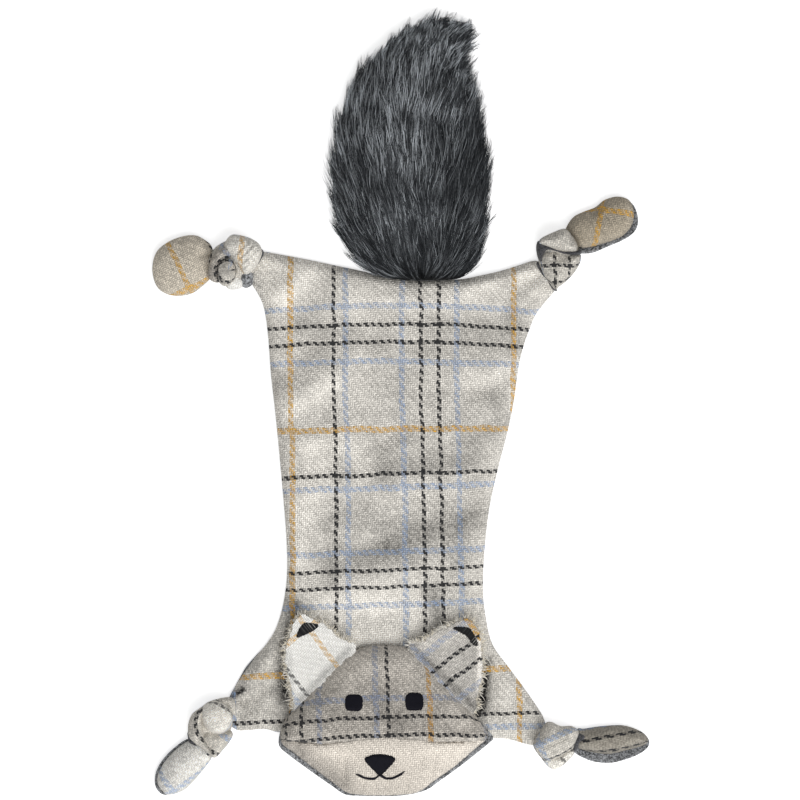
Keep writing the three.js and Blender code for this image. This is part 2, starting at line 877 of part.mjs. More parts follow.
// Rows from the root to the tip: distance, left edge, right edge, lowest and highest level
const tailShares = [
  [0.03, -0.3375, 0.39, 0.04, 0.36],
  [0.066, -0.3875, 0.4, 0.01, 0.62],
  [0.14, -0.4375, 0.42, 0, 0.8],
  [0.214, -0.469, 0.445, 0, 0.92],
  [0.288, -0.494, 0.475, 0, 1],
  [0.362, -0.506, 0.506, 0, 1],
  [0.435, -0.512, 0.488, 0, 1],
  [0.509, -0.5, 0.462, 0, 0.98],
  [0.583, -0.475, 0.419, 0, 0.95],
  [0.657, -0.444, 0.394, 0, 0.9],
  [0.73, -0.394, 0.387, 0, 0.84],
  [0.804, -0.319, 0.381, 0, 0.76],
  [0.878, -0.206, 0.406, 0, 0.66],
  [0.941, -0.062, 0.4, 0.02, 0.52],
  [0.978, 0.062, 0.35, 0.05, 0.4],
  [1, 0.15, 0.2875, 0.09, 0.28],
];
const tailRootShares = [-0.29, 0.385];

// The tail is hollow where it is at least this share of its height
const hollowTailShare = 0.9;

function tailRow(distance, [leftShare, rightShare], low, high) {
  return {
    a: new THREE.Vector2(tailRoot.x + leftShare * tailWidth, tailRoot.y + distance),
    b: new THREE.Vector2(tailRoot.x + rightShare * tailWidth, tailRoot.y + distance),
    low,
    high,
    rimLow: low + (high - low) * rimShare * rimShare,
    rimHigh: low + (high - low) * (1 - rimShare),
  };
}

function addTail() {
  const level = rearHeight / 2;
  const pivot = hinge('tail_hinge', toy, raised(tailRoot, level), new THREE.Vector2(1, 0));
  const rows = tailShares.map(([yShare, left, right, low, high]) => (
    tailRow(yShare * tailLength, [left, right], low * tailHeight, high * tailHeight)));
  const rootRow = tailRow(level + clearance, tailRootShares, level - tailRootLip, level + tailRootLip);
  const hollow = rows.filter((row) => row.high >= hollowTailShare * tailHeight);
  const space = pillowSpace(hollow, pile, pile, 2 * pile, 0);
  piece('tail_front_fur', upperHalf([rootRow, ...rows]).subtract(space), finishes.fur, pivot);
  piece('tail_back_fur', lowerHalf([rootRow, ...rows]).subtract(space), finishes.fur, pivot);
  const middle = hollow[Math.floor(hollow.length / 2)];
  const squeakerPlace = raised(middle.a.clone().lerp(middle.b, 1 / 2), pile + clearance);
  const filling = pillowSpace(hollow, pile, pile, 2 * pile, clearance);
  piece('tail_filling', filling.subtract(squeakerPocket(squeakerPlace)), finishes.wadding, pivot);
  addSqueaker('tail', squeakerPlace, pivot);
}

addTorso();
legs.forEach(addLeg);
addHead();
addNeckThread();
addTail();

// The toy is moved so that its middle, seen from above, is at the origin
toy.updateMatrixWorld(true);
const middle = new THREE.Box3().setFromObject(toy, true).getCenter(new THREE.Vector3());
toy.position.set(-middle.x, -middle.y, 0);
toy.updateMatrixWorld(true);

export default toy;
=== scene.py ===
"""Looks of a flat plush dog toy: tartan wool over grey felt, a furry tail, knotted legs, a padded
head with an embroidered face, and raw-edged ears. Every length is in metres."""

import json
import math

import bpy
import numpy as np
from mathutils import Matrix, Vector, noise
from mathutils.bvhtree import BVHTree
from mathutils.geometry import delaunay_2d_cdt
from mathutils.kdtree import KDTree


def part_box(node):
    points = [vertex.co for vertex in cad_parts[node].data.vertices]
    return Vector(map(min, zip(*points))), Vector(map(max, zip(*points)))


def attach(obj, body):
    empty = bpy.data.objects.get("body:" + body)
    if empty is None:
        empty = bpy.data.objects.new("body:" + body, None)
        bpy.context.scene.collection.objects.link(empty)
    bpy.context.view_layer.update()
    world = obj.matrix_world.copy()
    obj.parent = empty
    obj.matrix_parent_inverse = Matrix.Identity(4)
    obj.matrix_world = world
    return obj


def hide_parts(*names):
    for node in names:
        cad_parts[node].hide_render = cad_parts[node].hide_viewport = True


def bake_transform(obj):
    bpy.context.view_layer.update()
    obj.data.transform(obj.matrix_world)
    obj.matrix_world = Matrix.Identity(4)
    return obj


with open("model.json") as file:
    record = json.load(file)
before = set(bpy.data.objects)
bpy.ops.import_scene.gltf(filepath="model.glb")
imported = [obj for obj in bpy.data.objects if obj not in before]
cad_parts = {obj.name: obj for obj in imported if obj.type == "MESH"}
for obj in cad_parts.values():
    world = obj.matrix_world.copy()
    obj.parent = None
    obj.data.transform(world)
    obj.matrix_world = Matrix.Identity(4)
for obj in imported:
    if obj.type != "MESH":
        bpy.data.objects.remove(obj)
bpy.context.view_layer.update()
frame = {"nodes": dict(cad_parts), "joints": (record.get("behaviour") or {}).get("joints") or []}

MM = 0.001
DRAWS = np.random.default_rng(7)

# The photograph, which looks straight down: the size of its pixels on the toy, the pixel over the
# frame's origin, and the width of its frame in pixels

PIXEL = 0.51 * MM
ORIGIN_PIXEL = (398.92, 405.92)
FRAME_PIXELS = 800

# Cloth: thicknesses, and the yarns of the twill, whose lines repeat after a number of yarns

WOOL = 1.6 * MM
STRETCHED_WOOL = WOOL * 0.8
FELT = 1.4 * MM
SEAM_GAP = 0.15 * MM
WARP_PITCH = 0.943 * MM
WEFT_PITCH = 1.028 * MM
REPEAT = 120
DARK_LINES = ((22, 24), (68.5, 70.5), (78, 80))
BLUE_LINES = ((28, 31), (58.5, 61.5), (87, 90))
ORANGE_LINE = 3.6

# How much of a dark, blue or orange yarn shows through where it runs under another

UNDER_SHOWS = (0.35, 0.35, 0.45)

# Where the lines of the torso's cloth lie, as pixel rows and columns with the yarns there, from
# its stretch when it was sewn

TORSO_ROWS = ((240, -93), (304.3, -60), (361, -31.5), (427.8, 0), (473.8, 23), (550.5, 60),
              (604, 88.5), (671, 120), (745, 157))
TORSO_COLUMNS = ((200, -49), (289.3, 0), (333.7, 23), (400.9, 60), (438.6, 79), (456.7, 88.5),
                 (512.5, 120), (600, 168))

# Levels of the seams and tops of the pieces

TORSO_SEAM = 1.7 * MM
TORSO_RIM = 2.1 * MM
TORSO_TOP = 7.6 * MM
CHIN_ROW = 640
NECK_TOP = 5.6 * MM
HEAD_SEAM = 9.9 * MM
HEAD_TOP = 23 * MM
HEAD_BOTTOM = 7.2 * MM
PAW_SEAM = 3.8 * MM
PAW_TOP = 12.6 * MM
KNOT_TOP = 21.8 * MM
EAR_LEVEL = 11.9 * MM
EAR_THICKNESS = 1.9 * MM
EAR_HIGHEST = 13.6 * MM
EAR_LOWEST = 10.5 * MM
TAIL_SEAM = 6 * MM
TAIL_TOP = 20.5 * MM

# Where the felt shows past the wool along the left front leg: the middle row, how far the bare
# edge reaches from there, and the columns that it stays left of, in pixels

BARE_ROW = 668
BARE_REACH = 26
BARE_COLUMNS = 280

# Outlines in pixels of the photograph, each going round clockwise as seen

TORSO_OUTLINE = (
    (250, 262), (254, 254), (262, 251.5), (283, 255), (310, 260), (333, 265), (350, 268.5),
    (366, 272), (385, 276), (410, 279), (440, 280), (462, 279), (478, 276), (500, 271),
    (518, 265.5), (532, 261), (540, 262), (549, 270), (556, 281), (555, 290), (542, 306),
    (535, 316), (530, 328), (524, 345), (519, 365), (514, 400), (508, 430), (499, 465),
    (490, 505), (485, 545), (483, 585), (485, 612), (492, 643), (507, 665), (522, 685),
    (536, 705), (544, 719), (546, 732), (540, 742), (531, 745), (512, 740), (495, 738),
    (440, 738), (380, 738), (320, 736), (290, 733), (277, 732), (265, 729), (250, 730),
    (237, 730), (228, 722), (225, 712), (228, 700), (234, 688), (244, 673), (257, 655),
    (267, 643), (276, 628), (283, 605), (287, 575), (286.5, 540), (283.5, 500), (279, 450),
    (275, 410), (271, 375), (268, 335), (264, 308), (258, 294), (252, 284), (249, 273),
)
HEAD_OUTLINE = (
    (350, 653), (359, 648.5), (372, 645.5), (385, 644.5), (398, 645.5), (408, 648), (421.5, 657.5),
    (435.5, 670), (447.5, 683.5), (460, 697.5), (470.6, 709.5), (481, 722), (487.5, 732),
    (486.5, 738.5), (475, 748.5), (454, 766.5), (434, 780.5), (423, 789), (413, 793), (398, 794.5),
    (380, 795), (362, 794.5), (347, 792), (334, 783), (310, 765), (292, 751), (283, 744),
    (280.5, 737), (282, 727), (288, 715), (301, 699.5), (316, 683), (331, 668), (342, 658),
)
HEAD_BACK_OUTLINE = (
    (358, 649), (384, 646), (409, 649), (445, 684), (470, 712), (485, 727), (493, 736),
    (492.5, 739.5), (479, 751), (458.5, 767), (439, 781), (424, 790.5), (398, 795.5), (362, 795.5),
    (345, 794), (332, 785.5), (307, 768), (288, 754), (279.5, 746), (279, 737), (283, 726),
    (298, 706), (323, 680), (350, 652),
)
BROW_SEAM = (
    (270, 741), (283, 740), (300, 741.5), (323, 743.5), (350, 740.5), (380, 737.5), (410, 738.5),
    (435, 741.5), (460, 741), (480, 740), (505, 739),
)
TAIL_OUTLINE = (
    (376, 273), (361, 258), (352, 240), (346, 212), (343, 182), (344, 152), (349, 124),
    (357, 100), (368, 77), (382, 58), (398, 42), (418, 28), (438, 22), (455, 23), (466, 32),
    (466, 48), (458, 62), (459, 88), (466, 112), (472, 135), (477, 160), (479, 185), (478, 208),
    (475, 232), (471, 254), (467, 271), (457, 279), (425, 281), (395, 279),
)
TAIL_LINE = ((422, 290), (414, 220), (410, 160), (412, 110), (420, 70), (435, 30), (446, 0))

# Paws: outline, the side of the felt that shows, how the cloth lies on it: a pixel, the way its
# lengthwise yarns run, and the yarns that cross at that pixel, the ground of its tartan, and its
# creases

PAWS = {
    "rear_left": {
        "outline": (
            (212, 247), (205, 240), (196, 235.5), (184, 236), (170, 241), (158, 250),
            (153, 262), (153, 276), (158, 288), (168, 294.5), (181, 296), (193, 293),
            (203, 286), (211, 277), (214, 262),
        ),
        "felt": (
            (210, 248), (204, 242), (195, 238), (184, 239), (171, 243), (160, 251), (155, 262),
            (155, 276), (160, 287), (169, 293.5), (181, 295.5), (193, 292), (202, 285),
            (209, 277), (211, 262),
        ),
        "cloth": ((189, 288), (0.447, 0.894), (0, 0)),
        "ground": (0.72, 0.65, 0.54, 1),
        "creases": (((203, 241), (215, 251), 5, -3.4), ((198, 254), (214, 257), 4, -3)),
    },
    "rear_right": {
        "outline": (
            (565.5, 229), (572.8, 217.5), (583, 212), (595, 207.3), (604.7, 199.8),
            (617.5, 196.6), (628.7, 200), (633.5, 210), (632.6, 223), (626, 232.8),
            (616.7, 239), (596.8, 245.6), (580.8, 249), (576.5, 248.8), (573, 242.4), (568, 234),
        ),
        "felt": (
            (568, 233), (574, 220), (595, 210), (606, 202), (618, 198.5), (630, 202),
            (635.5, 209), (638.2, 220.9), (635, 231), (624.7, 239.2), (604.7, 248),
            (592.8, 252.8), (580.8, 253.6), (574, 251), (569, 241),
        ),
        "cloth": ((600, 208), (-0.15, 0.99), (0, 0)),
        "ground": (0.46, 0.4, 0.31, 1),
        "creases": (((568, 226), (580, 252), 3, -1.6),),
    },
    "front_left": {
        "outline": (
            (203, 744), (190, 740.5), (177, 748.5), (166, 760), (158.5, 773), (158, 785),
            (165, 794), (175, 793.5), (186, 788.5), (198, 776), (207, 765), (212, 755),
        ),
        "felt": (
            (201, 744), (189, 738.5), (175.5, 746.5), (163.5, 758.5), (156, 772), (155.5, 786),
            (163, 794.5), (174, 793), (185, 788), (197, 775.5), (206, 764.5), (210, 755),
        ),
        "cloth": ((168, 789), (0.55, 0.83), (28, 58)),
        "ground": (0.89, 0.87, 0.82, 1),
        "creases": (),
    },
    "front_right": {
        "outline": (
            (578, 728), (583.3, 728.5), (600.5, 726), (621.2, 725), (635, 728.5),
            (644.2, 733.6), (648.6, 740), (645.3, 744), (637.3, 747.4), (623.5, 750.8),
            (608.6, 753.8), (592.5, 752.2), (577.6, 747.5), (574, 738),
        ),
        "felt": (
            (575, 731), (585, 730), (600, 728), (621, 727), (636, 731), (646, 736),
            (649.3, 741), (647.6, 747.4), (638.4, 754.3), (623.5, 760), (608.6, 762.9),
            (592.5, 761.2), (578.7, 755.4), (572, 749.7), (571, 740),
        ),
        "cloth": ((608, 735), (0.18, 0.98), (44.5, 69.5), (1.6, 0.78)),
        "ground": (0.36, 0.33, 0.28, 1),
        "creases": (((575, 736), (590, 741), 3, -1.8),),
    },
}

# Knots: lobes of wound cloth, each with its outline, the level of its widest line and its rise and
# fall from there in millimetres, its stuff, how cloth lies on it, and its creases, each with
# its ends, width and depth. Cloth is straight, as on the paws, or goes round a centre, with a
# radius and the yarn that runs there

# Lobes of the gap stuff are near-black felt, painted shadow in the creases; lobes of the lit and
# shaded copies of the tartan carry painted light and shade
KNOTS = {
    "rear_left": (
        ("core", ((208, 262), (216, 247), (234, 239), (252, 244), (260, 256), (254, 272),
                  (240, 283), (222, 283), (211, 275)),
         6.8, 5, 6.6, "wool", ((240, 250), (0, 1), (40, 40)), ()),
        ("gap", ((261, 249), (264, 253), (261.5, 261), (255.5, 270.5), (251, 278), (246, 276),
                 (252, 268), (258, 258)),
         4.2, 3.4, 4, "gap", None, ()),
        ("felt", ((236, 268), (242, 264), (251, 267), (253.5, 276), (252, 285), (245, 288),
                  (239, 282)),
         6, 4.6, 5, "felt", None, (((243, 272), (252, 280), 2, -0.5),)),
        ("under", ((226, 283), (229, 277), (236, 273), (242, 276.5), (244.5, 282), (242, 287.5),
                   (234, 290), (227.5, 288.5)),
         5.2, 6, 5, "reverse", ((238, 282), (0.3, 1), (45, 100)), ()),
        ("band", ((208.5, 277), (208.8, 266), (213, 257), (219, 250), (226, 246.5),
                  (232, 248), (233, 256), (227, 260), (221, 266), (218.5, 274), (220, 282),
                  (213.5, 282)),
         7.6, 8.4, 7, "shaded", ("round", (229, 271), 13.5, 79),
         (((212, 270), (226, 252), 2.4, -0.8), ((222, 250), (231, 256), 1.6, -0.7))),
        ("ball", ((216, 272), (217.5, 264), (222.5, 259), (229, 258), (234.5, 261.5),
                  (237, 269), (236, 277.5), (231, 284), (225, 286.5), (219, 282)),
         8.4, 10.4, 7, "wool", ("round", (228.4, 270.8), 10.4, 69.5),
         (((220, 263), (234, 276), 3, -0.4),)),
        ("over", ((225, 244), (228.5, 237.5), (234.5, 234.5), (246.8, 237), (255.5, 241),
                  (260.5, 246), (262, 254), (257.5, 265), (250, 273), (245, 274.3),
                  (240, 269.5), (236, 264), (231, 257), (226, 251)),
         9.4, 10.6, 8, "painted_light", ((240.5, 250), (-0.12, 1), (0, 40)),
         (((256, 243), (236, 262), 1.3, -0.9), ((251, 240), (233, 257), 1.2, -0.8),
          ((260, 247), (239, 266), 1.3, -0.9), ((262, 252), (242, 270), 1.3, -1),
          ((262.5, 258), (246, 273), 1.2, -0.8))),
    ),
    "rear_right": (
        ("core", ((538, 258), (540, 244), (554, 233), (570, 234), (578, 248), (576, 264),
                  (562, 280), (552, 280), (542, 270)),
         6.8, 5, 6.6, "wool", ((560, 250), (0, 1), (40, 40)), ()),
        ("gap", ((537, 262), (541, 264), (547, 275), (555, 286), (557, 291), (552, 289),
                 (543, 277), (537, 267)),
         3.8, 3, 3.6, "gap", None, ()),
        ("low", ((539.5, 261), (541.5, 253.5), (548, 250), (557, 251), (566, 254), (577, 254),
                 (581, 256), (579.5, 264), (574.4, 272.5), (566.5, 281), (559.5, 286.5),
                 (555.3, 289.5), (550.5, 284.5), (543.3, 274.3)),
         7, 8.8, 6.8, "wool", ((553.5, 265), (0.04, 1), (69.5, 69.5), (0.92, 0.92)),
         (((543, 262), (566, 258), 2.5, -0.6), ((552, 284), (574, 268), 2.2, -0.8))),
        ("strip", ((536, 247), (538, 241), (543, 243.5), (551, 247), (558, 249.5), (566, 251),
                   (576, 251), (581, 250), (581, 254), (574, 255.5), (565, 255), (556, 252.5),
                   (549, 250.5), (545, 252), (543.5, 258), (541, 262.5), (537.3, 257)),
         8.2, 5.6, 7, "gap", None, (((545, 250), (575, 253), 1.8, -0.5),)),
        ("upper", ((538.5, 243.5), (541, 238.4), (552, 232.8), (563.3, 228.8), (568.5, 231.5),
                   (573, 239), (577, 247), (575.5, 251.5), (566.6, 251.4), (558, 249.8),
                   (550.8, 247.8), (544, 245.5)),
         9.6, 10.2, 8, "wool", ((550, 243), (0.2, 1), (37, 40)),
         (((566, 231), (573, 248), 1.8, -0.9), ((556, 233), (560, 248), 3, -0.5))),
    ),
    "front_left": (
        ("core", ((192, 730), (197, 712), (212, 702), (230, 703), (233, 720), (226, 742),
                  (212, 752), (200, 745)),
         6.8, 5, 6.6, "wool", ((212, 727), (0, 1), (40, 40)), ()),
        ("edge", ((187.5, 732), (191, 736), (197, 743.5), (204, 750), (210, 754), (207, 756.5),
                  (198, 752), (189.5, 743)),
         4.6, 3.6, 4.2, "gap", None, ()),
        ("strip", ((217, 699.5), (226, 697), (233, 698), (236, 705), (235.5, 715), (231, 712),
                   (225, 705.5)),
         8, 5.8, 7, "wool", ((228, 704), (0.52, -0.85), (40, 40)),
         (((224, 700), (232, 710), 1.6, -0.6),)),
        ("low", ((200.5, 736), (206, 730), (214, 731), (224, 732), (231, 730.5), (233, 735),
                 (229.5, 742), (223, 750), (215, 757.5), (208, 753), (203, 745)),
         6.6, 7.4, 6, "wool", ((216, 738.5), (-0.55, 0.83), (50, 64)),
         (((206, 750), (226, 736), 2, -0.5),)),
        ("band", ((224, 699), (214, 699.5), (206, 703.5), (199.5, 708), (192, 714),
                  (188.3, 724.5), (189, 736.3), (194, 742), (200.3, 747.2), (207, 752),
                  (211, 754.5), (209, 747), (206, 740), (203.5, 733), (202.5, 722), (206, 712),
                  (214, 706)),
         8, 9.2, 7.4, "wool", ("round", (217.5, 722), 21.6, 79),
         (((190.5, 722), (203, 749), 1.4, -0.9), ((196, 714), (191, 736), 1.5, -0.6))),
        ("ball", ((200.5, 714), (203, 706), (208.5, 701.5), (216.1, 699.8), (224, 702.5),
                  (231, 709), (233.4, 716.6), (230, 727), (221, 733), (211, 731.5),
                  (203.5, 724)),
         10.6, 10, 8, "painted_light", ((225, 706.8), (0.52, -0.85), (40, 23)),
         (((206, 706), (212, 728), 2.4, -0.3),)),
    ),
    "front_right": (
        ("core", ((537, 746), (542, 731), (556, 726), (572, 730), (575, 744), (566, 758),
                  (552, 762), (541, 756)),
         6.8, 5, 6.6, "wool", ((556, 742), (0, 1), (40, 40)), ()),
        ("gap", ((573, 735), (580, 732.5), (587, 735), (586, 740), (580, 743), (577, 750),
                 (572, 752), (571, 744)),
         5, 4, 4.8, "gap", None, ()),
        ("under", ((541.5, 757.5), (549, 757), (556, 755), (562, 752), (572, 748), (573.5, 754),
                   (565.5, 763), (559, 767.5), (553.5, 769), (547.5, 766)),
         6.4, 6, 6, "painted_light", ((563, 763), (0.35, 0.94), (69.5, 75)), ()),
        ("band", ((533, 745), (538, 735), (545.5, 722.8), (551.7, 721.8), (560.4, 725.6),
                  (571.8, 725.8), (578.5, 731), (576, 740), (571.5, 749), (562.5, 755),
                  (556, 758.2), (549.5, 760.3), (542, 758.5)),
         9, 10.6, 8, "wool", ((556, 734.7), (0.42, 0.9), (40, 60)),
         (((540, 748), (577, 733), 2, -0.8), ((543, 755), (572, 744), 1.8, -0.7),
          ((549, 724), (543, 738), 2.6, -0.5), ((558, 727), (574, 740), 2.4, -0.5))),
    ),
}

# Ears: the turn of the threads at the tip, the outline, the patch at the tip, how the cloth lies
# on it, and its patches of painted light and shade

EARS = {
    "left": {
        "stitch_turn": 130,
        "outline": (
            (300, 710), (292, 694), (289, 676), (285.5, 661), (286.5, 646), (290.5, 633),
            (296, 619), (304, 614), (311, 617.5), (325, 624.5), (340, 637.5), (355.5, 652),
        ),
        "patch": ((303, 623), (318, 624.5), (313, 631), (297, 637)),
        "cloth": ((309, 628), (-0.614, -0.789), (0, 0)),
        "painted_shading": (((290, 709), (349, 649), 4, -0.3), ((292, 690), (289, 650), 4, -0.12)),
    },
    "right": {
        "stitch_turn": 50,
        "outline": (
            (409, 652.5), (425, 639.5), (439, 630.5), (453, 624.5), (466, 618), (478, 629),
            (481.5, 650), (482, 671), (478.5, 690), (467.5, 713),
        ),
        "patch": ((453, 628), (462, 626.5), (471, 629), (478, 644), (473, 645), (466, 636)),
        "cloth": ((451.5, 656), (0.61, 0.79), (102, 69.5)),
        "painted_shading": (((412, 646), (475, 707), 4.5, -0.42), ((425, 645), (455, 632), 9, 0.18),
                ((480, 640), (479, 690), 2.5, 0.7)),
    },
}

# Embroidery: the eyes, each with its place, its width and height in pixels and the turn of its
# threads, the outlines of eyes and nose, and the mouth

EYES = {"left": ((354, 702), 17.5, 17.2, 96), "right": ((414.4, 701), 18, 18.4, 84)}
EYE_SHARES = (
    (-0.5, 0.06), (-0.46, 0.33), (-0.3, 0.47), (0, 0.5), (0.3, 0.47), (0.46, 0.33), (0.5, 0.06),
    (0.48, -0.28), (0.37, -0.46), (0, -0.5), (-0.37, -0.46), (-0.48, -0.28),
)
NOSE = (
    (365, 757.5), (372, 754), (380, 753), (388, 754), (395, 757.5), (393.5, 762), (388, 768),
    (382, 774), (380, 775), (378, 774), (372, 768), (366.5, 762),
)
MOUTH = (
    (358, 773.8), (363, 776.4), (368.5, 777.8), (374.5, 777.6), (380, 775), (385.5, 777.4),
    (391, 777.6), (396.5, 775.8), (403, 772.3),
)
STITCH = 0.36 * MM
SATIN_STEPS = 9
NECK_STITCH = 2.6 * MM

# Colours, as linear values

GROUND = (0.8, 0.765, 0.7, 1)
# The shaded copy of the ground is painted shade, on the forehead and on the band of the rear left
# knot
SHADED_GROUND = (0.56, 0.52, 0.465, 1)
EAR_GROUND = (0.63, 0.6, 0.555, 1)
CREAM = (0.78, 0.715, 0.63, 1)
REVERSE_GROUND = (0.96, 0.945, 0.9, 1)
DARK = (0.009, 0.010, 0.013, 1)
BLUE = (0.27, 0.4, 0.64, 1)
ORANGE = (0.72, 0.39, 0.04, 1)
FELT_GREY = (0.25, 0.258, 0.27, 1)
# Near-black felt that stands for the shadow deep in the creases beside the knots: painted shadow
PAINTED_SHADOW_GREY = (0.06, 0.06, 0.067, 1)
THREAD = (0.004, 0.004, 0.008, 1)
# Shaded copies of the blue and orange lines: painted shade on the forehead
SHADED_BLUE = (0.2, 0.26, 0.4, 1)
SHADED_ORANGE = (0.58, 0.3, 0.04, 1)
# The lit copy of the ground is painted light, on some lobes of the knots
PAINTED_LIGHT_GROUND = (0.94, 0.905, 0.83, 1)
KNOT_GROUND = (0.7, 0.665, 0.6, 1)
EAR_BLUE = (0.3, 0.36, 0.5, 1)
WHITE_WADDING = (0.8, 0.79, 0.76, 1)
PALE_THREAD = (0.42, 0.4, 0.37, 1)
CLOUDY_FILM = (0.72, 0.75, 0.78, 1)
PALE_PLASTIC = (0.8, 0.8, 0.76, 1)
FUR_BACKING = (0.012, 0.014, 0.016, 1)

# Colours of strands, from root to tip, and of the palest tips

WORN_STRANDS = ((0.008, 0.008, 0.009, 1), (0.01, 0.01, 0.011, 1), (0.5, 0.49, 0.46, 1))
FUR_HAIRS = ((0.004, 0.0045, 0.005, 1), (0.02, 0.023, 0.027, 1), (0.8, 0.85, 0.9, 1))
FRAYED_WOOL = ((0.7, 0.67, 0.62, 1), (0.95, 0.93, 0.88, 1), (0.9, 0.82, 0.66, 1))

# The spacing of the points of each kind of piece, the parts of a curve between two points of its
# outline, and how far the rings of points in a net lie from its edge, in shares of their spacing

TORSO_STEP = 1.7 * MM
HEAD_STEP = 1.5 * MM
EAR_STEP = 1.1 * MM
SLEEVE_STEP = 1.1 * MM
LOBE_STEP = 0.55 * MM
PAW_STEP = 1.2 * MM
TAIL_STEP = 2.2 * MM
STUFFING_STEP = 2.2 * MM
CURVE_STEPS = 16
NET_RINGS = (0.35, 1)

# Sleeves of the legs, along the way from the torso to the knot

SLEEVE_START = -4 * MM
SLEEVE_END = 15 * MM
SLEEVE_MIDDLE = (SLEEVE_START + SLEEVE_END) / 2
SLEEVE_HALF_WIDTH = 5 * MM
PLAIN_YARNS = (44, 44)

# Air that blows up the padded pieces: a push on a cloth that is larger than life, and how much the
# cloth can give

SIMULATION_SCALE = 10
AIR_PRESSURE = 6
CLOTH_SLACK = 0.03

# Strands. A look of fur is its length, lift and thickness, its tone, and how far its locks pull

FRAYS = 700
FUR_STRANDS = 30000
GUARD_STRANDS = 15000
UNDER_STRANDS = 7000
STRANDS_PER_PIECE = 7500
FUR_TAPER = (1, 1, 0.85, 0.6, 0.15)
FUR_LENGTH = 19 * MM
FUR_LOWEST = 0.4 * MM
FUR_HIGHEST = 24.9 * MM
FUR_LOOK = (FUR_LENGTH, 0.1, 0.12 * MM, (0.5, 6, 0.55))
GUARD_LOOK = (FUR_LENGTH * 0.95, 0.17, 0.125 * MM, (0.3, 1.7, 2.7), (0.1, 0.45))
UNDER_LOOK = (FUR_LENGTH * 0.8, 0.03, 0.13 * MM, (1, 4, 0.8))

# Pressed felt: the turn of each layer of fibres, and how finely it is drawn out

FELT_FIBRES = ((0.4, (260, 1500, 700)), (1.7, (1500, 260, 700)), (2.6, (900, 320, 900)))

# Folds, each along a line between two pixels, with its width in pixels and depth in millimetres,
# and patches of painted light and shade, each with its line, its width and how much paler it is
# painted

PAINTED_SHADING_STRENGTH = 1.15
TORSO_FOLDS = (
    ((283, 403), (340, 370), 13, 2.3), ((343, 350), (402, 358), 12, 1.5),
    ((298, 490), (420, 473), 13, 1.9), ((415, 476), (494, 462), 12, 1.7),
    ((330, 580), (484, 560), 15, 2.2), ((466, 390), (508, 386), 10, -1.5),
    ((292, 443), (336, 431), 11, 1.4), ((274, 302), (306, 264), 10, 1.6),
    ((462, 286), (505, 276), 9, 1.3), ((372, 440), (412, 428), 10, -1.2),
    ((392, 346), (500, 352), 9, -1.1), ((300, 336), (352, 330), 8, -0.9),
    ((395, 300), (470, 306), 10, 0.9), ((345, 548), (400, 532), 11, -1.2),
    ((450, 520), (484, 505), 9, -1.2), ((292, 540), (336, 530), 10, 1.1),
    ((285, 640), (235, 700), 7, 1.3), ((500, 670), (540, 725), 8, 1.2),
    ((262, 700), (236, 716), 6, -1.2), ((500, 700), (538, 735), 5, -1),
    ((286, 270), (262, 268), 5, -1), ((515, 285), (546, 272), 6, -1.1),
    ((278, 680), (240, 706), 5, -1.2), ((231, 693), (248, 705), 4, -3.2),
    ((520, 300), (545, 285), 6, 1.2), ((265, 262), (290, 272), 6, 1),
)
TORSO_PAINTED_SHADING = (
    ((313, 262), (285, 305), 15, 0.28), ((345, 300), (500, 302), 14, 0.17),
    ((452, 293), (518, 280), 13, 0.18), ((268, 262), (280, 296), 12, 0.14),
    ((526, 284), (545, 270), 13, 0.24), ((290, 412), (330, 385), 11, 0.2),
    ((350, 378), (358, 398), 18, 0.11), ((462, 378), (510, 368), 12, 0.15),
    ((312, 448), (314, 466), 13, 0.24), ((348, 448), (362, 470), 13, 0.26),
    ((306, 488), (300, 560), 14, 0.26), ((305, 530), (303, 545), 12, 0.08),
    ((385, 505), (450, 487), 9, 0.09), ((325, 604), (410, 603), 14, 0.28),
    ((460, 600), (480, 590), 10, 0.08), ((272, 388), (325, 352), 10, -0.15),
    ((388, 350), (402, 410), 13, -0.1), ((490, 398), (495, 403), 8, -0.16),
    ((470, 440), (502, 425), 11, -0.15), ((385, 470), (470, 462), 12, -0.24),
    ((375, 448), (416, 440), 9, -0.1),
    ((355, 500), (385, 478), 11, -0.09), ((330, 520), (366, 512), 12, -0.12),
    ((395, 545), (472, 516), 16, -0.34), ((335, 566), (385, 548), 14, -0.2),
    ((512, 300), (510, 345), 9, -0.13), ((294, 606), (284, 700), 8, -0.6),
    ((425, 628), (438, 622), 8, -0.18), ((486, 662), (478, 712), 7, -0.75),
    ((232, 697), (243, 689), 3.2, -0.85), ((245, 722), (262, 672), 12, -0.14),
    ((500, 672), (512, 690), 8, 0.1), ((516, 716), (530, 740), 8, 0.1),
    ((250, 668), (262, 652), 6, -0.15), ((425, 346), (515, 348), 9, -0.16),
    ((332, 520), (332, 590), 6, -0.15), ((432, 590), (440, 628), 9, -0.36),
    ((435, 325), (535, 335), 12, -0.13), ((300, 325), (318, 328), 9, -0.22),
    ((280, 362), (290, 368), 8, 0.2), ((355, 318), (370, 330), 8, 0.17),
    ((355, 305), (390, 303), 7, 0.12), ((308, 540), (312, 552), 9, -0.24),
    ((285, 645), (283, 690), 8, -0.22), ((484, 680), (482, 708), 7, -0.35),
    ((285, 723), (290, 728), 8, 0.25), ((350, 638), (395, 638), 9, 0.24),
    ((355, 605), (390, 605), 9, 0.12), ((325, 468), (332, 488), 9, 0.14),
    ((355, 525), (415, 525), 10, -0.13), ((385, 485), (388, 488), 7, -0.15),
    ((460, 530), (462, 590), 10, -0.13), ((505, 285), (515, 288), 8, -0.15),
)
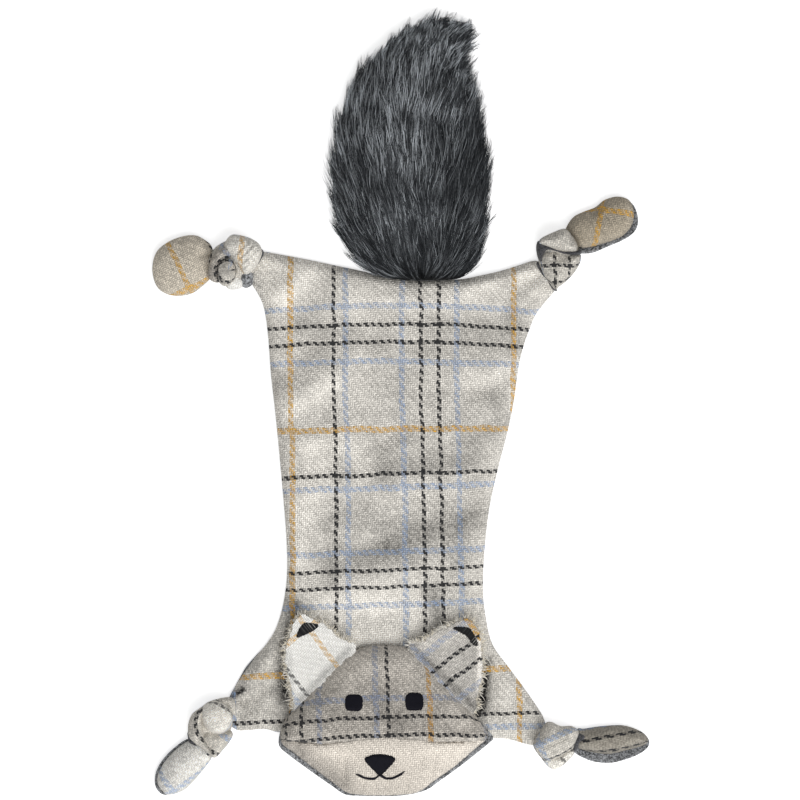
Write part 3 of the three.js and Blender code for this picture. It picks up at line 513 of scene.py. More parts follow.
HEAD_FOLDS = (
    ((322, 690), (352, 722), 5, -0.9), ((448, 690), (420, 724), 5, -0.8),
    ((384, 660), (384, 700), 12, 0.5), ((330, 722), (350, 736), 4, -0.6),
    ((440, 722), (462, 732), 4, -0.7), ((300, 730), (318, 736), 4, -0.6),
    ((372, 725), (396, 727), 7, 0.5),
)
# Patches of painted light and shade on the forehead and the muzzle
BROW_PAINTED_SHADING = (
    ((345, 668), (425, 668), 15, 0.16), ((452, 706), (470, 722), 12, 0.22),
    ((325, 700), (345, 712), 10, -0.12), ((380, 695), (400, 735), 14, -0.22),
    ((300, 735), (460, 735), 4, 0.15), ((400, 690), (430, 720), 10, -0.08),
)
MUZZLE_PAINTED_SHADING = (
    ((320, 752), (460, 748), 10, 0.2), ((296, 750), (345, 784), 12, -0.3),
    ((350, 790), (415, 790), 6, -0.1),
)


def spot(pixels):
    """The place on the toy, seen from above, under a pixel of the photograph, or under each"""
    return (np.asarray(pixels, float) - ORIGIN_PIXEL) * [PIXEL, -PIXEL]


def pixels_of(points):
    """The pixel columns and rows of the photograph over each point"""
    return points[:, 0] / PIXEL + ORIGIN_PIXEL[0], ORIGIN_PIXEL[1] - points[:, 1] / PIXEL


# Curves and outlines


def unit(ways):
    return ways / np.linalg.norm(ways, axis=-1, keepdims=True)


def left_of(ways):
    """Level ways turned left by a quarter"""
    return np.stack([-ways[..., 1], ways[..., 0]], axis=-1)


def through(points, spacing, closed=True):
    """A smooth curve through points, with points at an even spacing along it"""
    points = np.asarray(points, float)
    count = len(points)
    share = np.linspace(0, 1, CURVE_STEPS, endpoint=False)[:, None]
    pieces = []
    for index in range(count if closed else count - 1):
        near = index + np.arange(-1, 3)
        near = near % count if closed else np.clip(near, 0, count - 1)
        before, start, end, after = points[near]
        pieces.append(0.5 * (
            2 * start + (end - before) * share
            + (2 * before - 5 * start + 4 * end - after) * share ** 2
            + (3 * start - before - 3 * end + after) * share ** 3))
    fine = np.vstack(pieces + [points[:1] if closed else points[-1:]])
    lengths = np.concatenate([[0], np.cumsum(np.linalg.norm(np.diff(fine, axis=0), axis=1))])
    steps = max(3, round(lengths[-1] / spacing))
    places = np.linspace(0, lengths[-1], steps if closed else steps + 1, endpoint=not closed)
    return np.column_stack([np.interp(places, lengths, axis) for axis in fine.T])


def turned_area(outline):
    """The area of a closed outline, below zero where it goes round clockwise"""
    following = np.roll(outline, -1, axis=0)
    return np.sum(outline[:, 0] * following[:, 1] - following[:, 0] * outline[:, 1]) / 2


def inward(outline):
    """The unit normals of a closed outline that point to its inside"""
    along = np.roll(outline, -1, axis=0) - np.roll(outline, 1, axis=0)
    return left_of(unit(along)) * np.sign(turned_area(outline))


def inside(points, outline):
    """Which points lie inside a closed outline"""
    x, y = points.T
    result = np.zeros(len(points), bool)
    for start, end in zip(outline, np.roll(outline, -1, axis=0)):
        crosses = (start[1] > y) != (end[1] > y)
        rise = end[1] - start[1] or 1
        result ^= crosses & (x < (end[0] - start[0]) * (y - start[1]) / rise + start[0])
    return result


def solid(points):
    """Points with a level of 0 where they have none"""
    return np.pad(points, ((0, 0), (0, 3 - points.shape[1])))


def nearest(points, targets):
    """Which target lies nearest to each point, and how far from it"""
    tree = KDTree(len(targets))
    for index, target in enumerate(solid(targets)):
        tree.insert(target, index)
    tree.balance()
    found = [tree.find(point) for point in solid(points)]
    return np.array([hit[1] for hit in found]), np.array([hit[2] for hit in found])


def distances(points, targets):
    """How far each point lies from the nearest of a dense row of targets"""
    return nearest(points, targets)[1]


def flat_net(outline, spacing, lines=()):
    """Points and triangles that fill an outline, with even rings inside its edge and edges along
    the given lines"""
    edge = through(outline, spacing / 4)
    around = [outline] + [outline + inward(outline) * spacing * ring for ring in NET_RINGS]
    count = len(outline)
    low, high = outline.min(axis=0), outline.max(axis=0)
    columns = np.arange(low[0], high[0], spacing)
    grid = np.vstack([
        np.column_stack([columns + spacing / 2 * (index % 2), np.full(len(columns), row)])
        for index, row in enumerate(np.arange(low[1], high[1], spacing * math.sqrt(3) / 2))])
    grid = grid[inside(grid, outline)]
    grid = grid[distances(grid, edge) > spacing * (NET_RINGS[-1] + 0.6)]
    edges = [(index, (index + 1) % count) for index in range(count)]
    points = np.vstack(around)
    for line in lines:
        inner = line[inside(line, outline)]
        inner = inner[distances(inner, edge) > spacing * 0.1]
        gap = distances(points[count:], inner)
        points = np.vstack([points[:count], points[count:][gap > spacing * 0.45]])
        grid = grid[distances(grid, inner) > spacing * 0.5]
        start = len(points)
        points = np.vstack([points, inner])
        edges += [(start + index, start + index + 1) for index in range(len(inner) - 1)]
    points = np.vstack([points, grid])
    found = delaunay_2d_cdt([Vector(point) for point in points], edges, [], 1, 1e-7)
    net_points = np.array([tuple(point) for point in found[0]])
    triangles = np.array([face for face in found[2] if len(face) == 3])
    a, b, c = (net_points[triangles[:, corner]] for corner in range(3))
    turn = (b[:, 0] - a[:, 0]) * (c[:, 1] - a[:, 1]) - (b[:, 1] - a[:, 1]) * (c[:, 0] - a[:, 0])
    triangles[turn < 0] = triangles[turn < 0][:, ::-1]
    return net_points, triangles


def filled(outline, spacing, fine=None, lines=()):
    """The net that fills an outline, and how far each of its points lies from the edge"""
    net = flat_net(outline, spacing, lines)
    return net, distances(net[0], through(outline, fine or spacing / 4))


def rim_edges(triangles):
    """The edges with a triangle on one side only, in the direction of that triangle"""
    edges = np.vstack([triangles[:, [0, 1]], triangles[:, [1, 2]], triangles[:, [2, 0]]])
    keys = {tuple(edge) for edge in edges}
    return np.array([edge for edge in edges if (edge[1], edge[0]) not in keys])


# Meshes


def shown(name, data):
    """A new object in the scene"""
    made = bpy.data.objects.new(name, data)
    bpy.context.scene.collection.objects.link(made)
    return made


def piece_from(name, points, faces, material=None):
    mesh = bpy.data.meshes.new(name)
    mesh.from_pydata([tuple(point) for point in points], [], [tuple(face) for face in faces])
    mesh.validate()
    mesh.update()
    if material:
        mesh.materials.append(material)
    mesh.shade_smooth()
    return shown(name, mesh)


def layered(name, above, below, triangles, material):
    """A closed piece: a surface, a second one under it, and the rim between them"""
    count = len(above)
    sides = [(end, start, start + count, end + count) for start, end in rim_edges(triangles)]
    faces = [*triangles, *(triangles[:, ::-1] + count), *sides]
    return piece_from(name, np.vstack([above, below]), faces, material)


def shell(name, net, top, bottom, material):
    """A closed piece between two levels over a flat net"""
    points, triangles = net
    return layered(name, np.column_stack([points, top]), np.column_stack([points, bottom]),
                   triangles, material)


def trimmed(points, triangles):
    """The triangles of a net, the points that they use, and which points these were"""
    used, order = np.unique(triangles, return_inverse=True)
    return points[used], order.reshape(-1, 3), used


def thickened(name, points, triangles, thickness, material):
    """A closed piece: a surface and a second one inside it"""
    points, triangles, _ = trimmed(points, triangles)
    inner = points - normals_of(points, triangles) * thickness
    return layered(name, points, inner, triangles, material)


def normals_of(points, triangles):
    """The outward normal at each point of a surface"""
    a, b, c = (points[triangles[:, corner]] for corner in range(3))
    facing = np.cross(b - a, c - a)
    total = np.zeros_like(points)
    for corner in range(3):
        np.add.at(total, triangles[:, corner], facing)
    return total / np.maximum(np.linalg.norm(total, axis=1, keepdims=True), 1e-12)


def cast_tree(points, triangles):
    """A surface that rays can be cast on"""
    return BVHTree.FromPolygons([tuple(point) for point in points],
                                [tuple(int(index) for index in face) for face in triangles])


def levels(tree, flat):
    """The level of the surface under each point seen from above"""
    hits = [tree.ray_cast(Vector((x, y, 0.1)), Vector((0, 0, -1)))[0] for x, y in flat]
    return np.array([hit.z if hit else 0 for hit in hits])


def places_of(piece):
    flat = np.empty(len(piece.data.vertices) * 3)
    piece.data.vertices.foreach_get("co", flat)
    return flat.reshape(-1, 3)


def wavy(points, size, seed, depth=2):
    """Soft noise between -1 and 1 at each point, with waves of about the given size"""
    shift = Vector((seed * 7.3, seed * 3.1, seed * 5.7))
    values = [noise.fractal(Vector(point) / size + shift, 1, 2, depth,
                            noise_basis="PERLIN_ORIGINAL") for point in solid(points)]
    return np.clip(np.array(values), -1, 1)


def creased(points, creases):
    """How far soft folds raise each point. Each fold lies along a line between two pixels, with a
    width in pixels and a depth in millimetres, and fades at its ends"""
    rise = np.zeros(len(points))
    for start, end, width, depth in creases:
        start, end = spot(start), spot(end)
        length = np.linalg.norm(end - start)
        along = (end - start) / length
        offset = points[:, :2] - start
        place = offset @ along / length
        across = offset @ left_of(along) / (width * PIXEL)
        fade = np.clip(1 - np.abs(2 * place - 1) ** 4, 0, None) * (np.abs(place - 0.5) < 0.5)
        rise += depth * MM * fade * np.exp(-(across ** 2))
    return rise


def brushed(piece, patches):
    """Painted light and shade: patches along lines between two pixels, each with its width and
    how much paler or darker the wool is painted there, kept in a point attribute"""
    places = places_of(piece)[:, :2]
    tone = 0
    for start, end, width, amount in patches:
        start, line = spot(start), spot(end) - spot(start)
        share = np.clip((places - start) @ line / (line @ line), 0, 1)
        gap = np.linalg.norm(places - start - share[:, None] * line, axis=1)
        tone += PAINTED_SHADING_STRENGTH * amount * np.exp(-((gap / (width * PIXEL)) ** 2))
    piece.data.attributes.new("painted_shading", "FLOAT", "POINT").data.foreach_set("value", tone)


def domed(distance, reach, power=2.2):
    """A share that rises steeply from an edge and levels out at a reach from it"""
    return 1 - np.clip(1 - distance / reach, 0, 1) ** power


# How a flat cloth lies on a piece, kept as the numbers of its yarns in a UV map named cloth


def unrolled(places, outline, level):
    """Places seen from above, with those below a level moved out from an outline as far as they
    lie below it, as where the cloth over an edge is laid flat"""
    drop = np.maximum(level - places[:, 2], 0)
    return places[:, :2] - inward(outline)[nearest(places[:, :2], outline)[0]] * drop[:, None]


def set_cloth(piece, across, along):
    layer = piece.data.uv_layers.get("cloth") or piece.data.uv_layers.new(name="cloth")
    corners = np.empty(len(piece.data.loops), int)
    piece.data.loops.foreach_get("vertex_index", corners)
    layer.data.foreach_set("uv", np.column_stack([across, along])[corners].ravel())


def lay_cloth(piece, pixel, way, yarns, scale=(1, 1), flat=None, bow=0):
    """The way is that of the lengthwise yarns, in pixels. The yarns cross at the pixel, and the
    crosswise ones may be bowed"""
    along = np.array([way[0], -way[1]]) / math.hypot(*way)
    offset = (places_of(piece)[:, :2] if flat is None else flat) - spot(pixel)
    set_cloth(piece, offset @ left_of(along) / WARP_PITCH / scale[0] + yarns[0],
              offset @ along / WEFT_PITCH / scale[1] + yarns[1] - bow)


def wind_cloth(piece, centre, radius, yarn, flat):
    """Crosswise yarns that go round a centre, with one of them at a radius in pixels"""
    offset = flat - spot(centre)
    angle = np.arctan2(-offset[:, 1], -offset[:, 0])
    reach = np.linalg.norm(offset, axis=1)
    set_cloth(piece, angle * radius * PIXEL / WARP_PITCH + 40,
              (reach - radius * PIXEL) / WEFT_PITCH + yarn)


# Strands: closed, tapered fibres and threads


def strands(name, paths, radii, material, tones, sides=3):
    """One piece of many strands. Paths hold the points of each strand, and radii its radius at
    each. A UV map named strand holds its tone and the share of its length"""
    many, steps = paths.shape[:2]
    along = np.gradient(paths, axis=1)
    along /= np.maximum(np.linalg.norm(along, axis=2, keepdims=True), 1e-12)
    reference = np.where(np.abs(along[..., 2:]) > 0.8, [[[1.0, 0, 0]]], [[[0, 0, 1.0]]])
    side = unit(np.cross(along, reference))
    up = np.cross(side, along)
    angles = np.arange(sides) * 2 * math.pi / sides + math.pi / 2 - math.pi / sides
    ring = (side[:, :, None] * np.cos(angles)[:, None] + up[:, :, None] * np.sin(angles)[:, None])
    points = paths[:, :, None] + ring * radii[:, :, None, None]
    index = np.arange(many * steps * sides).reshape(many, steps, sides)
    following = np.roll(index, -1, axis=2)
    quads = np.stack([index[:, :-1], following[:, :-1], following[:, 1:], index[:, 1:]], axis=-1)
    corners = np.concatenate([quads.ravel(), index[:, 0, ::-1].ravel(), index[:, -1].ravel()])
    sizes = np.concatenate([np.full(quads.size // 4, 4), np.full(many * 2, sides)])
    mesh = bpy.data.meshes.new(name)
    mesh.vertices.add(points.size // 3)
    mesh.vertices.foreach_set("co", points.ravel())
    mesh.loops.add(len(corners))
    mesh.loops.foreach_set("vertex_index", corners.astype(np.int32))
    mesh.polygons.add(len(sizes))
    mesh.polygons.foreach_set("loop_start", np.concatenate([[0], np.cumsum(sizes)[:-1]]))
    mesh.update(calc_edges=True)
    tone = np.repeat(tones, steps * sides)
    share = np.tile(np.repeat(np.linspace(0, 1, steps), sides), many)
    layer = mesh.uv_layers.new(name="strand")
    layer.data.foreach_set("uv", np.column_stack([tone, share])[corners].ravel())
    mesh.materials.append(material)
    mesh.shade_smooth()
    return shown(name, mesh)


def bent(roots, ways, ends, steps):
    """Paths that leave their roots along a way and curve over to their ends"""
    share = np.linspace(0, 1, steps)[None, :, None]
    return (
        roots[:, None] * (1 - share) ** 2
        + (roots + ways)[:, None] * 2 * share * (1 - share)
        + ends[:, None] * share ** 2)


# Shader nodes


class Wire:
    """What a shader node puts out. Wires add, subtract and multiply as numbers do"""

    def __init__(self, socket):
        self.socket = socket
        self.tree = socket.id_data

    def math(self, operation, *values):
        inputs = dict(enumerate((self, *values)))
        return add(self.tree, "Math", inputs, operation=operation)

    def __add__(self, other):
        return self.math("ADD", other)

    def __sub__(self, other):
        return self.math("SUBTRACT", other)

    def __mul__(self, other):
        return self.math("MULTIPLY", other)

    def between(self, low, high):
        return add(self.tree, "Clamp", {0: self, 1: low, 2: high})


def connect(entry, value):
    """Feeds an input with a wire or a constant"""
    if isinstance(value, Wire):
        value.tree.links.new(value.socket, entry)
    else:
        entry.default_value = value


def add(tree, kind, inputs=None, out=0, **settings):
    """Adds a shader node. Gives the wire from one of its outputs"""
    made = tree.nodes.new("ShaderNode" + kind)
    for key, value in settings.items():
        setattr(made, key, value)
    for key, value in (inputs or {}).items():
        connect(made.inputs[key], value)
    return Wire(made.outputs[out])


def outputs_of(wire):
    return [Wire(socket) for socket in wire.socket.node.outputs]


def mixed(share, first, second):
    return add(share.tree, "Mix", {0: share, 6: first, 7: second}, 2, data_type="RGBA")


def noisy(vector, scale, detail=2.0, roughness=0.5, out="Fac"):
    inputs = {"Vector": vector, "Scale": scale, "Detail": detail, "Roughness": roughness}
    return add(vector.tree, "TexNoise", inputs, out)


def stretched(vector, scale, turn=0):
    inputs = {"Vector": vector, "Scale": scale, "Rotation": (0, 0, turn)}
    return add(vector.tree, "Mapping", inputs, vector_type="POINT")


def moved(vector, way):
    return add(vector.tree, "VectorMath", {0: vector, 1: way}, operation="ADD")


def scaled(amount, vector):
    """A vector or colour, either of them a constant or a wire, times a wire or a constant"""
    tree = (amount if isinstance(amount, Wire) else vector).tree
    return add(tree, "VectorMath", {0: vector, "Scale": amount}, operation="SCALE")


def effect(name, inputs):
    """A node group that puts out a colour and a height, with its inputs as (name, kind, value)"""
    group = bpy.data.node_groups.new(name, "ShaderNodeTree")
    for label, kind, value in inputs:
        socket = group.interface.new_socket(label, in_out="INPUT", socket_type="NodeSocket" + kind)
        socket.default_value = value
    for label, kind in (("Color", "Color"), ("Height", "Float")):
        group.interface.new_socket(label, in_out="OUTPUT", socket_type="NodeSocket" + kind)
    entry = group.nodes.new("NodeGroupInput")
    given = {socket.name: Wire(socket) for socket in entry.outputs}
    return group, given, group.nodes.new("NodeGroupOutput").inputs


def line_ramp(place):
    """Masks of the dark, blue and orange lines, as red, green and blue, across one repeat"""
    ramp = place.tree.nodes.new("ShaderNodeValToRGB")
    ramp.color_ramp.interpolation = "CONSTANT"
    half = ORANGE_LINE / 2
    stops = [(0, (0, 0, 1, 1)), (half, (0, 0, 0, 1)), (REPEAT - half, (0, 0, 1, 1))]
    for lines, colour in ((DARK_LINES, (1, 0, 0, 1)), (BLUE_LINES, (0, 1, 0, 1))):
        for start, end in lines:
            stops += [(start, colour), (end, (0, 0, 0, 1))]
    elements = ramp.color_ramp.elements
    elements.remove(elements[1])
    for index, (yarn, colour) in enumerate(sorted(stops)):
        element = elements[0] if index == 0 else elements.new(yarn / REPEAT)
        element.position = yarn / REPEAT
        element.color = colour
    connect(ramp.inputs[0], place)
    return Wire(ramp.outputs[0])


def build_twill():
    """Twill of two yarns over and two under, with the lines of a tartan in both directions"""
    group, given, result = effect("Tartan twill", (
        ("Cloth", "Vector", (0, 0, 0)), ("Ground", "Color", GROUND), ("Dark", "Color", DARK),
        ("Blue", "Color", BLUE), ("Orange", "Color", ORANGE), ("Lines", "Float", 1.0),
        ("Mottle", "Float", 0.5), ("Nap", "Float", 0.0)))
    cloth = given["Cloth"]
    yarns = cloth
    for scale, amount in ((0.09, 2.6), (0.9, 0.75)):
        drift = moved(noisy(cloth, scale, out="Color"), (-0.5, -0.5, -0.5))
        yarns = moved(yarns, scaled(amount, drift))
    parts = outputs_of(add(group, "SeparateXYZ", {0: yarns}))[:2]
    whole = [part.math("FLOOR") for part in parts]
    rest = [part.math("FRACT") for part in parts]
    phase = (whole[0] - whole[1]).math("FLOORED_MODULO", 4.0)
    warp_up = phase.math("LESS_THAN", 1.5)
    warp, weft = (line_ramp((number + 0.5).math("FLOORED_MODULO", REPEAT).math("DIVIDE", REPEAT))
                  for number in whole)
    above, below = (outputs_of(add(group, "SeparateColor", {0: mixed(warp_up, *pair)}))
                    for pair in ((weft, warp), (warp, weft)))
    dark, blue, orange = (over.math("MAXIMUM", under * shows)
                          for over, under, shows in zip(above, below, UNDER_SHOWS))
    cell = add(group, "CombineXYZ", {0: whole[0], 1: whole[1]})
    fleck = add(group, "TexWhiteNoise", {"Vector": cell}, "Value", noise_dimensions="2D")
    heather = noisy(stretched(cloth, (1.3, 1.3, 1)), 1.0, 4.0, 0.7)
    broad = noisy(cloth, 0.1, 3.0, 0.6)
    patch = noisy(stretched(cloth, (0.35, 0.35, 1)), 1.0, 3.0, 0.7)
    # The attribute of painted light and shade lightens or darkens the ground, together with the
    # random mottle of the wool
    light = given["Nap"] + 1.0
    for value, amount in ((fleck, 0.6), (heather, 1.6), (broad, 0.8), (patch, 0.45)):
        light += (value - 0.5) * given["Mottle"] * amount
    colour = scaled(light, given["Ground"])
    strength = ((heather - 0.34) * 4.5 + (patch - 0.5)).between(0.15, 1.0) * given["Lines"]
    colour = mixed(blue * 0.8 * strength, colour, given["Blue"])
    colour = mixed(orange * strength, colour, scaled(patch * 1.3 + 0.35, given["Orange"]))
    worn = (heather * 0.4 + 0.78).between(0, 0.97)
    colour = mixed(dark * worn * given["Lines"], colour, given["Dark"])
    tops = []
    for part, other in (rest, rest[::-1]):
        bow = ((phase + other) * (math.pi / 2)).math("SINE").math("ABSOLUTE")
        tops.append((part * math.pi).math("SINE").math("POWER", 0.6) * (bow * 0.45 + 0.55))
    height = add(group, "Mix", {0: warp_up, 2: tops[1], 3: tops[0]})
    height += noisy(cloth, 3.2, 3.0, 0.7) * 0.5
    connect(result["Color"], scaled(height * 0.57 + 0.5, colour))
    connect(result["Height"], height)
    return group


def build_felt():
    """Pressed fibres that lie every way, with pale and dark ones among them"""
    group, given, result = effect("Pressed felt", (
        ("Color", "Color", FELT_GREY), ("Contrast", "Float", 0.5), ("Scale", "Float", 1.0)))
    place = scaled(given["Scale"], add(group, "TexCoord", out="Object"))
    fibres = [noisy(stretched(stretched(place, (1, 1, 1), turn), stretch), 1.0, 2.0, 0.6)
              for turn, stretch in FELT_FIBRES]
    height = fibres[0].math("MAXIMUM", fibres[1]).math("MAXIMUM", fibres[2])
    height += noisy(place, 160.0, 3.0, 0.6) * 0.6
    speck = noisy(place, 1000.0, 2.0, 0.9) - 0.5
    light = (height - 0.9) * given["Contrast"] * 2.4 + 1.0
    light += speck * (given["Contrast"] * 6.0)
    connect(result["Color"], scaled(light.math("MAXIMUM", 0.15), given["Color"]))
    connect(result["Height"], height)
    return group


# Materials. Constants are set on the shader's own sockets


def surface(name, roughness, specular=0.5, **constants):
    """A new material with a Principled shader, and its tree and the shader's inputs"""
    material = bpy.data.materials.new(name)
    material.use_nodes = True
    inputs = material.node_tree.nodes["Principled BSDF"].inputs
    inputs["Roughness"].default_value = roughness
    inputs["Specular IOR Level"].default_value = specular
    for key, value in constants.items():
        inputs[key.replace("_", " ")].default_value = value
    return material, material.node_tree, inputs


def bumped(inputs, height, distance, strength=1.0):
    bump = {"Height": height, "Distance": distance, "Strength": strength}
    connect(inputs["Normal"], add(height.tree, "Bump", bump))


def covered(tree, inputs, group, relief, strength, **values):
    """Gives a shader the colour and the relief of a node group"""
    made = tree.nodes.new("ShaderNodeGroup")
    made.node_tree = group
    for key, value in values.items():
        connect(made.inputs[key], value)
    connect(inputs["Base Color"], Wire(made.outputs["Color"]))
    bumped(inputs, Wire(made.outputs["Height"]), relief, strength)


def tartan(name, ground=GROUND, lines=1.0, mottle=0.6, relief=0.5 * MM, **colours):
    material, tree, inputs = surface(name, roughness=0.95, specular=0.12, Sheen_Weight=0.15,
                                     Sheen_Roughness=0.6)
    # Each piece's attribute of painted light and shade feeds the twill's colour
    covered(tree, inputs, TWILL, relief, strength=0.85, Ground=ground, Lines=lines,
            Mottle=mottle,
            Cloth=add(tree, "UVMap", uv_map="cloth"),
            Nap=add(tree, "Attribute", out="Fac", attribute_name="painted_shading"), **colours)
    return material


def felt(name, colour=FELT_GREY, contrast=0.5, scale=1.0, depth=0.3 * MM):
    material, tree, inputs = surface(name, roughness=0.97, specular=0.1, Sheen_Weight=0.2,
                                     Sheen_Roughness=0.7)
    covered(tree, inputs, FELT_GROUP, depth, strength=0.8, Color=colour, Contrast=contrast,
            Scale=scale)
    return material


def fibre(name, root, tip, pale, roughness, power=2.2):
    """Strands that go from a root colour to a tip colour, and the palest of them to a third"""
    material, tree, inputs = surface(name, roughness, specular=0.16)
    tone, share, _ = outputs_of(add(tree, "SeparateXYZ", {0: add(tree, "UVMap", uv_map="strand")}))
    rise = (share * power).math("MINIMUM", 1.0)
    connect(inputs["Base Color"], mixed(rise, root, mixed(tone, tip, pale)))
    return material


def plain(name, colour, roughness, grain, depth, specular=0.5):
    """Moulded plastic, film or thread with a fine grain"""
    material, tree, inputs = surface(name, roughness, specular)
    height = noisy(add(tree, "TexCoord", out="Object"), grain, 3.0, 0.6)
    connect(inputs["Base Color"], scaled(height * 0.2 + 0.9, colour[:3]))
    bumped(inputs, height, depth)
    return material


TWILL = build_twill()
FELT_GROUP = build_felt()
TARTAN = tartan("tartan wool")
# The forehead's copy of the tartan, darkened as painted shade
SHADED_TARTAN = tartan("brow tartan in painted shade", ground=SHADED_GROUND, mottle=0.75, Blue=SHADED_BLUE,
                       Orange=SHADED_ORANGE)
# A lit copy of the tartan: painted light
PAINTED_LIGHT_TARTAN = tartan("bright tartan", ground=PAINTED_LIGHT_GROUND, lines=0.8)
LIMB_TARTANS = {limb: tartan(f"{limb} tartan", ground=shape["ground"])
                for limb, shape in PAWS.items()}
EAR_TARTAN = tartan("ear tartan", ground=EAR_GROUND, Blue=EAR_BLUE)
REVERSE = tartan("brushed reverse", ground=REVERSE_GROUND, lines=0.8, mottle=0.25,
                 relief=0.3 * MM)
CREAM_WOOL = tartan("cream wool", ground=CREAM, lines=0.0, mottle=0.3)
GREY_FELT = felt("grey felt", contrast=1.1)
# Near-black felt put where there is only shadow in the creases: painted shadow
PAINTED_SHADOW_FELT = felt("felt painted as shadow in the folds", PAINTED_SHADOW_GREY, contrast=0.9)
WADDING = felt("wadding", WHITE_WADDING, contrast=0.2, scale=0.4, depth=1.5 * MM)
EMBROIDERY = plain("satin thread", THREAD, roughness=0.6, grain=4000, depth=0.05 * MM,
                   specular=0.12)
WORN_THREAD = fibre("worn thread", *WORN_STRANDS, roughness=0.7)
SEWING = plain("sewing thread", PALE_THREAD, roughness=0.6, grain=5000, depth=0.1 * MM)
FILM = plain("crackling film", CLOUDY_FILM, roughness=0.25, grain=90, depth=3 * MM)
PLASTIC = plain("squeaker plastic", PALE_PLASTIC, roughness=0.4, grain=700, depth=0.05 * MM)
FUR_ROOTS = felt("fur backing", FUR_BACKING, contrast=0.8, depth=1 * MM)
FUR = fibre("fur", *FUR_HAIRS, roughness=0.4, power=1.5)
KNOT_TARTAN = tartan("knot tartan", ground=KNOT_GROUND)
# Of the stuffs of the lobes, the lit and shaded copies of the tartan are painted light and shade,
# and the gap felt is painted shadow in the creases
STUFFS = {"wool": KNOT_TARTAN, "painted_light": PAINTED_LIGHT_TARTAN, "shaded": SHADED_TARTAN,
          "reverse": REVERSE, "felt": GREY_FELT, "gap": PAINTED_SHADOW_FELT}
FRAY = fibre("frayed wool", *FRAYED_WOOL, roughness=0.9)


# Camera, lamps and floor

CAMERA_HEIGHT = 10
SENSOR_WIDTH = 36
KEY_DISTANCE = 2.2
KEY_ELEVATION = math.radians(50)
KEY_AZIMUTH = math.radians(-60)
KEY_SHARE = 0.66
KEY_SIZE = 2.4
FLOOR_GLOW = 0.6
FLOOR_WHITE = (0.96, 0.96, 0.96, 1)
FLOOR_HALF = 1.5
FLOOR_LEVEL = -0.1 * MM


def add_camera():
    camera = bpy.data.cameras.new("camera")
    camera.sensor_width = SENSOR_WIDTH
    camera.lens = camera.sensor_width * CAMERA_HEIGHT / (FRAME_PIXELS * PIXEL)
    placed = shown("camera", camera)
    placed.location = (*spot((FRAME_PIXELS / 2, FRAME_PIXELS / 2)), CAMERA_HEIGHT)
    bpy.context.scene.camera = placed


def add_lights():
    lamp = bpy.data.lights.new("softbox", "AREA")
    lamp.shape = "DISK"
    lamp.size = KEY_SIZE
    rise, level = math.sin(KEY_ELEVATION), math.cos(KEY_ELEVATION)
    lamp.energy = KEY_SHARE * math.pi ** 2 * KEY_DISTANCE ** 2 / rise
    way = Vector((level * math.cos(KEY_AZIMUTH), level * math.sin(KEY_AZIMUTH), rise))
    softbox = shown("softbox", lamp)
    softbox.location = way * KEY_DISTANCE
    softbox.rotation_euler = way.to_track_quat("Z", "Y").to_euler()
    world = bpy.data.worlds.new("studio")
    world.use_nodes = True
    tree = world.node_tree
    seen, mirrored = (add(tree, "LightPath", out=f"Is {kind} Ray") for kind in ("Camera", "Glossy"))
    background = tree.nodes["Background"].inputs
    background["Color"].default_value = (1, 1, 1, 1)
    connect(background["Strength"], seen.math("MAXIMUM", mirrored) * KEY_SHARE + (1 - KEY_SHARE))
    bpy.context.scene.world = world


def add_floor():
    material, tree, inputs = surface("floor", roughness=0.9, specular=0)
    inputs["Base Color"].default_value = FLOOR_WHITE
    glow = add(tree, "LightPath", out="Is Camera Ray") * FLOOR_GLOW
    connect(inputs["Emission Color"], add(tree, "CombineXYZ", {0: glow, 1: glow, 2: glow}))
    inputs["Emission Strength"].default_value = 1
    corners = [(x * FLOOR_HALF, y * FLOOR_HALF, FLOOR_LEVEL)
               for x, y in ((-1, -1), (1, -1), (1, 1), (-1, 1))]
    piece_from("floor", corners, [(0, 1, 2, 3)], material)


# The bodies that pieces move with


def dress(piece, body, node=None):
    """Attaches a piece to the body that it moves with, and hides the CAD piece that it stands for
    """
    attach(piece, body)
    if node:
        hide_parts(node)


def bend_at(joint):
    """A joint's place, and the level way in which what it carries leaves it"""
    found = next(row for row in frame["joints"] if row["name"] == joint)
    return np.array(found["pos_m"]), np.cross([0, 0, 1], found["axis"])


def bend(piece):
    """Bakes the placement of a piece into its mesh"""
    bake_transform(piece)


def felt_back(name, net, edge, low, thin, high):
    """A felt panel over a level, thinner at its edge and no higher than the seam"""
    top = low + FELT * (thin + (1 - thin) * domed(edge, 2 * MM))
    return shell(name, net, np.minimum(top, high), low, GREY_FELT)


# Torso


def puckers(points, edge, size, seed, turns, middle, reach):
    """Small waves between -1 and 1 along a seam, strongest at a middle distance from it"""
    return np.sin(wavy(points, size, seed) * turns) * np.exp(-((edge - middle) / reach) ** 2)


def torso_height(points, edge):
    """The level of the torso's upper cloth, with soft folds and puckers along its seams"""
    under_head = np.clip((spot((0, CHIN_ROW))[1] - points[:, 1]) / (16 * MM), 0, 1)
    full = TORSO_TOP + (NECK_TOP - TORSO_TOP) * under_head - TORSO_RIM
    level = TORSO_RIM + full * (0.72 * domed(edge, 4.5 * MM) + 0.28 * domed(edge, 16 * MM))
    waves = wavy(points, 30 * MM, seed=1) * 1.0 * MM * domed(edge, 20 * MM)
    waves += wavy(points * [1, 1.8], 13 * MM, seed=2) * 0.7 * MM * domed(edge, 8 * MM)
    waves += puckers(points, edge, 9 * MM, seed=3, turns=9, middle=3 * MM,
                     reach=3.2 * MM) * 0.45 * MM
    level += waves * (1 - under_head * 0.8)
    level += 1.2 * creased(points, TORSO_FOLDS) * domed(edge, 6 * MM)
    return np.maximum(level, 2.0 * MM)


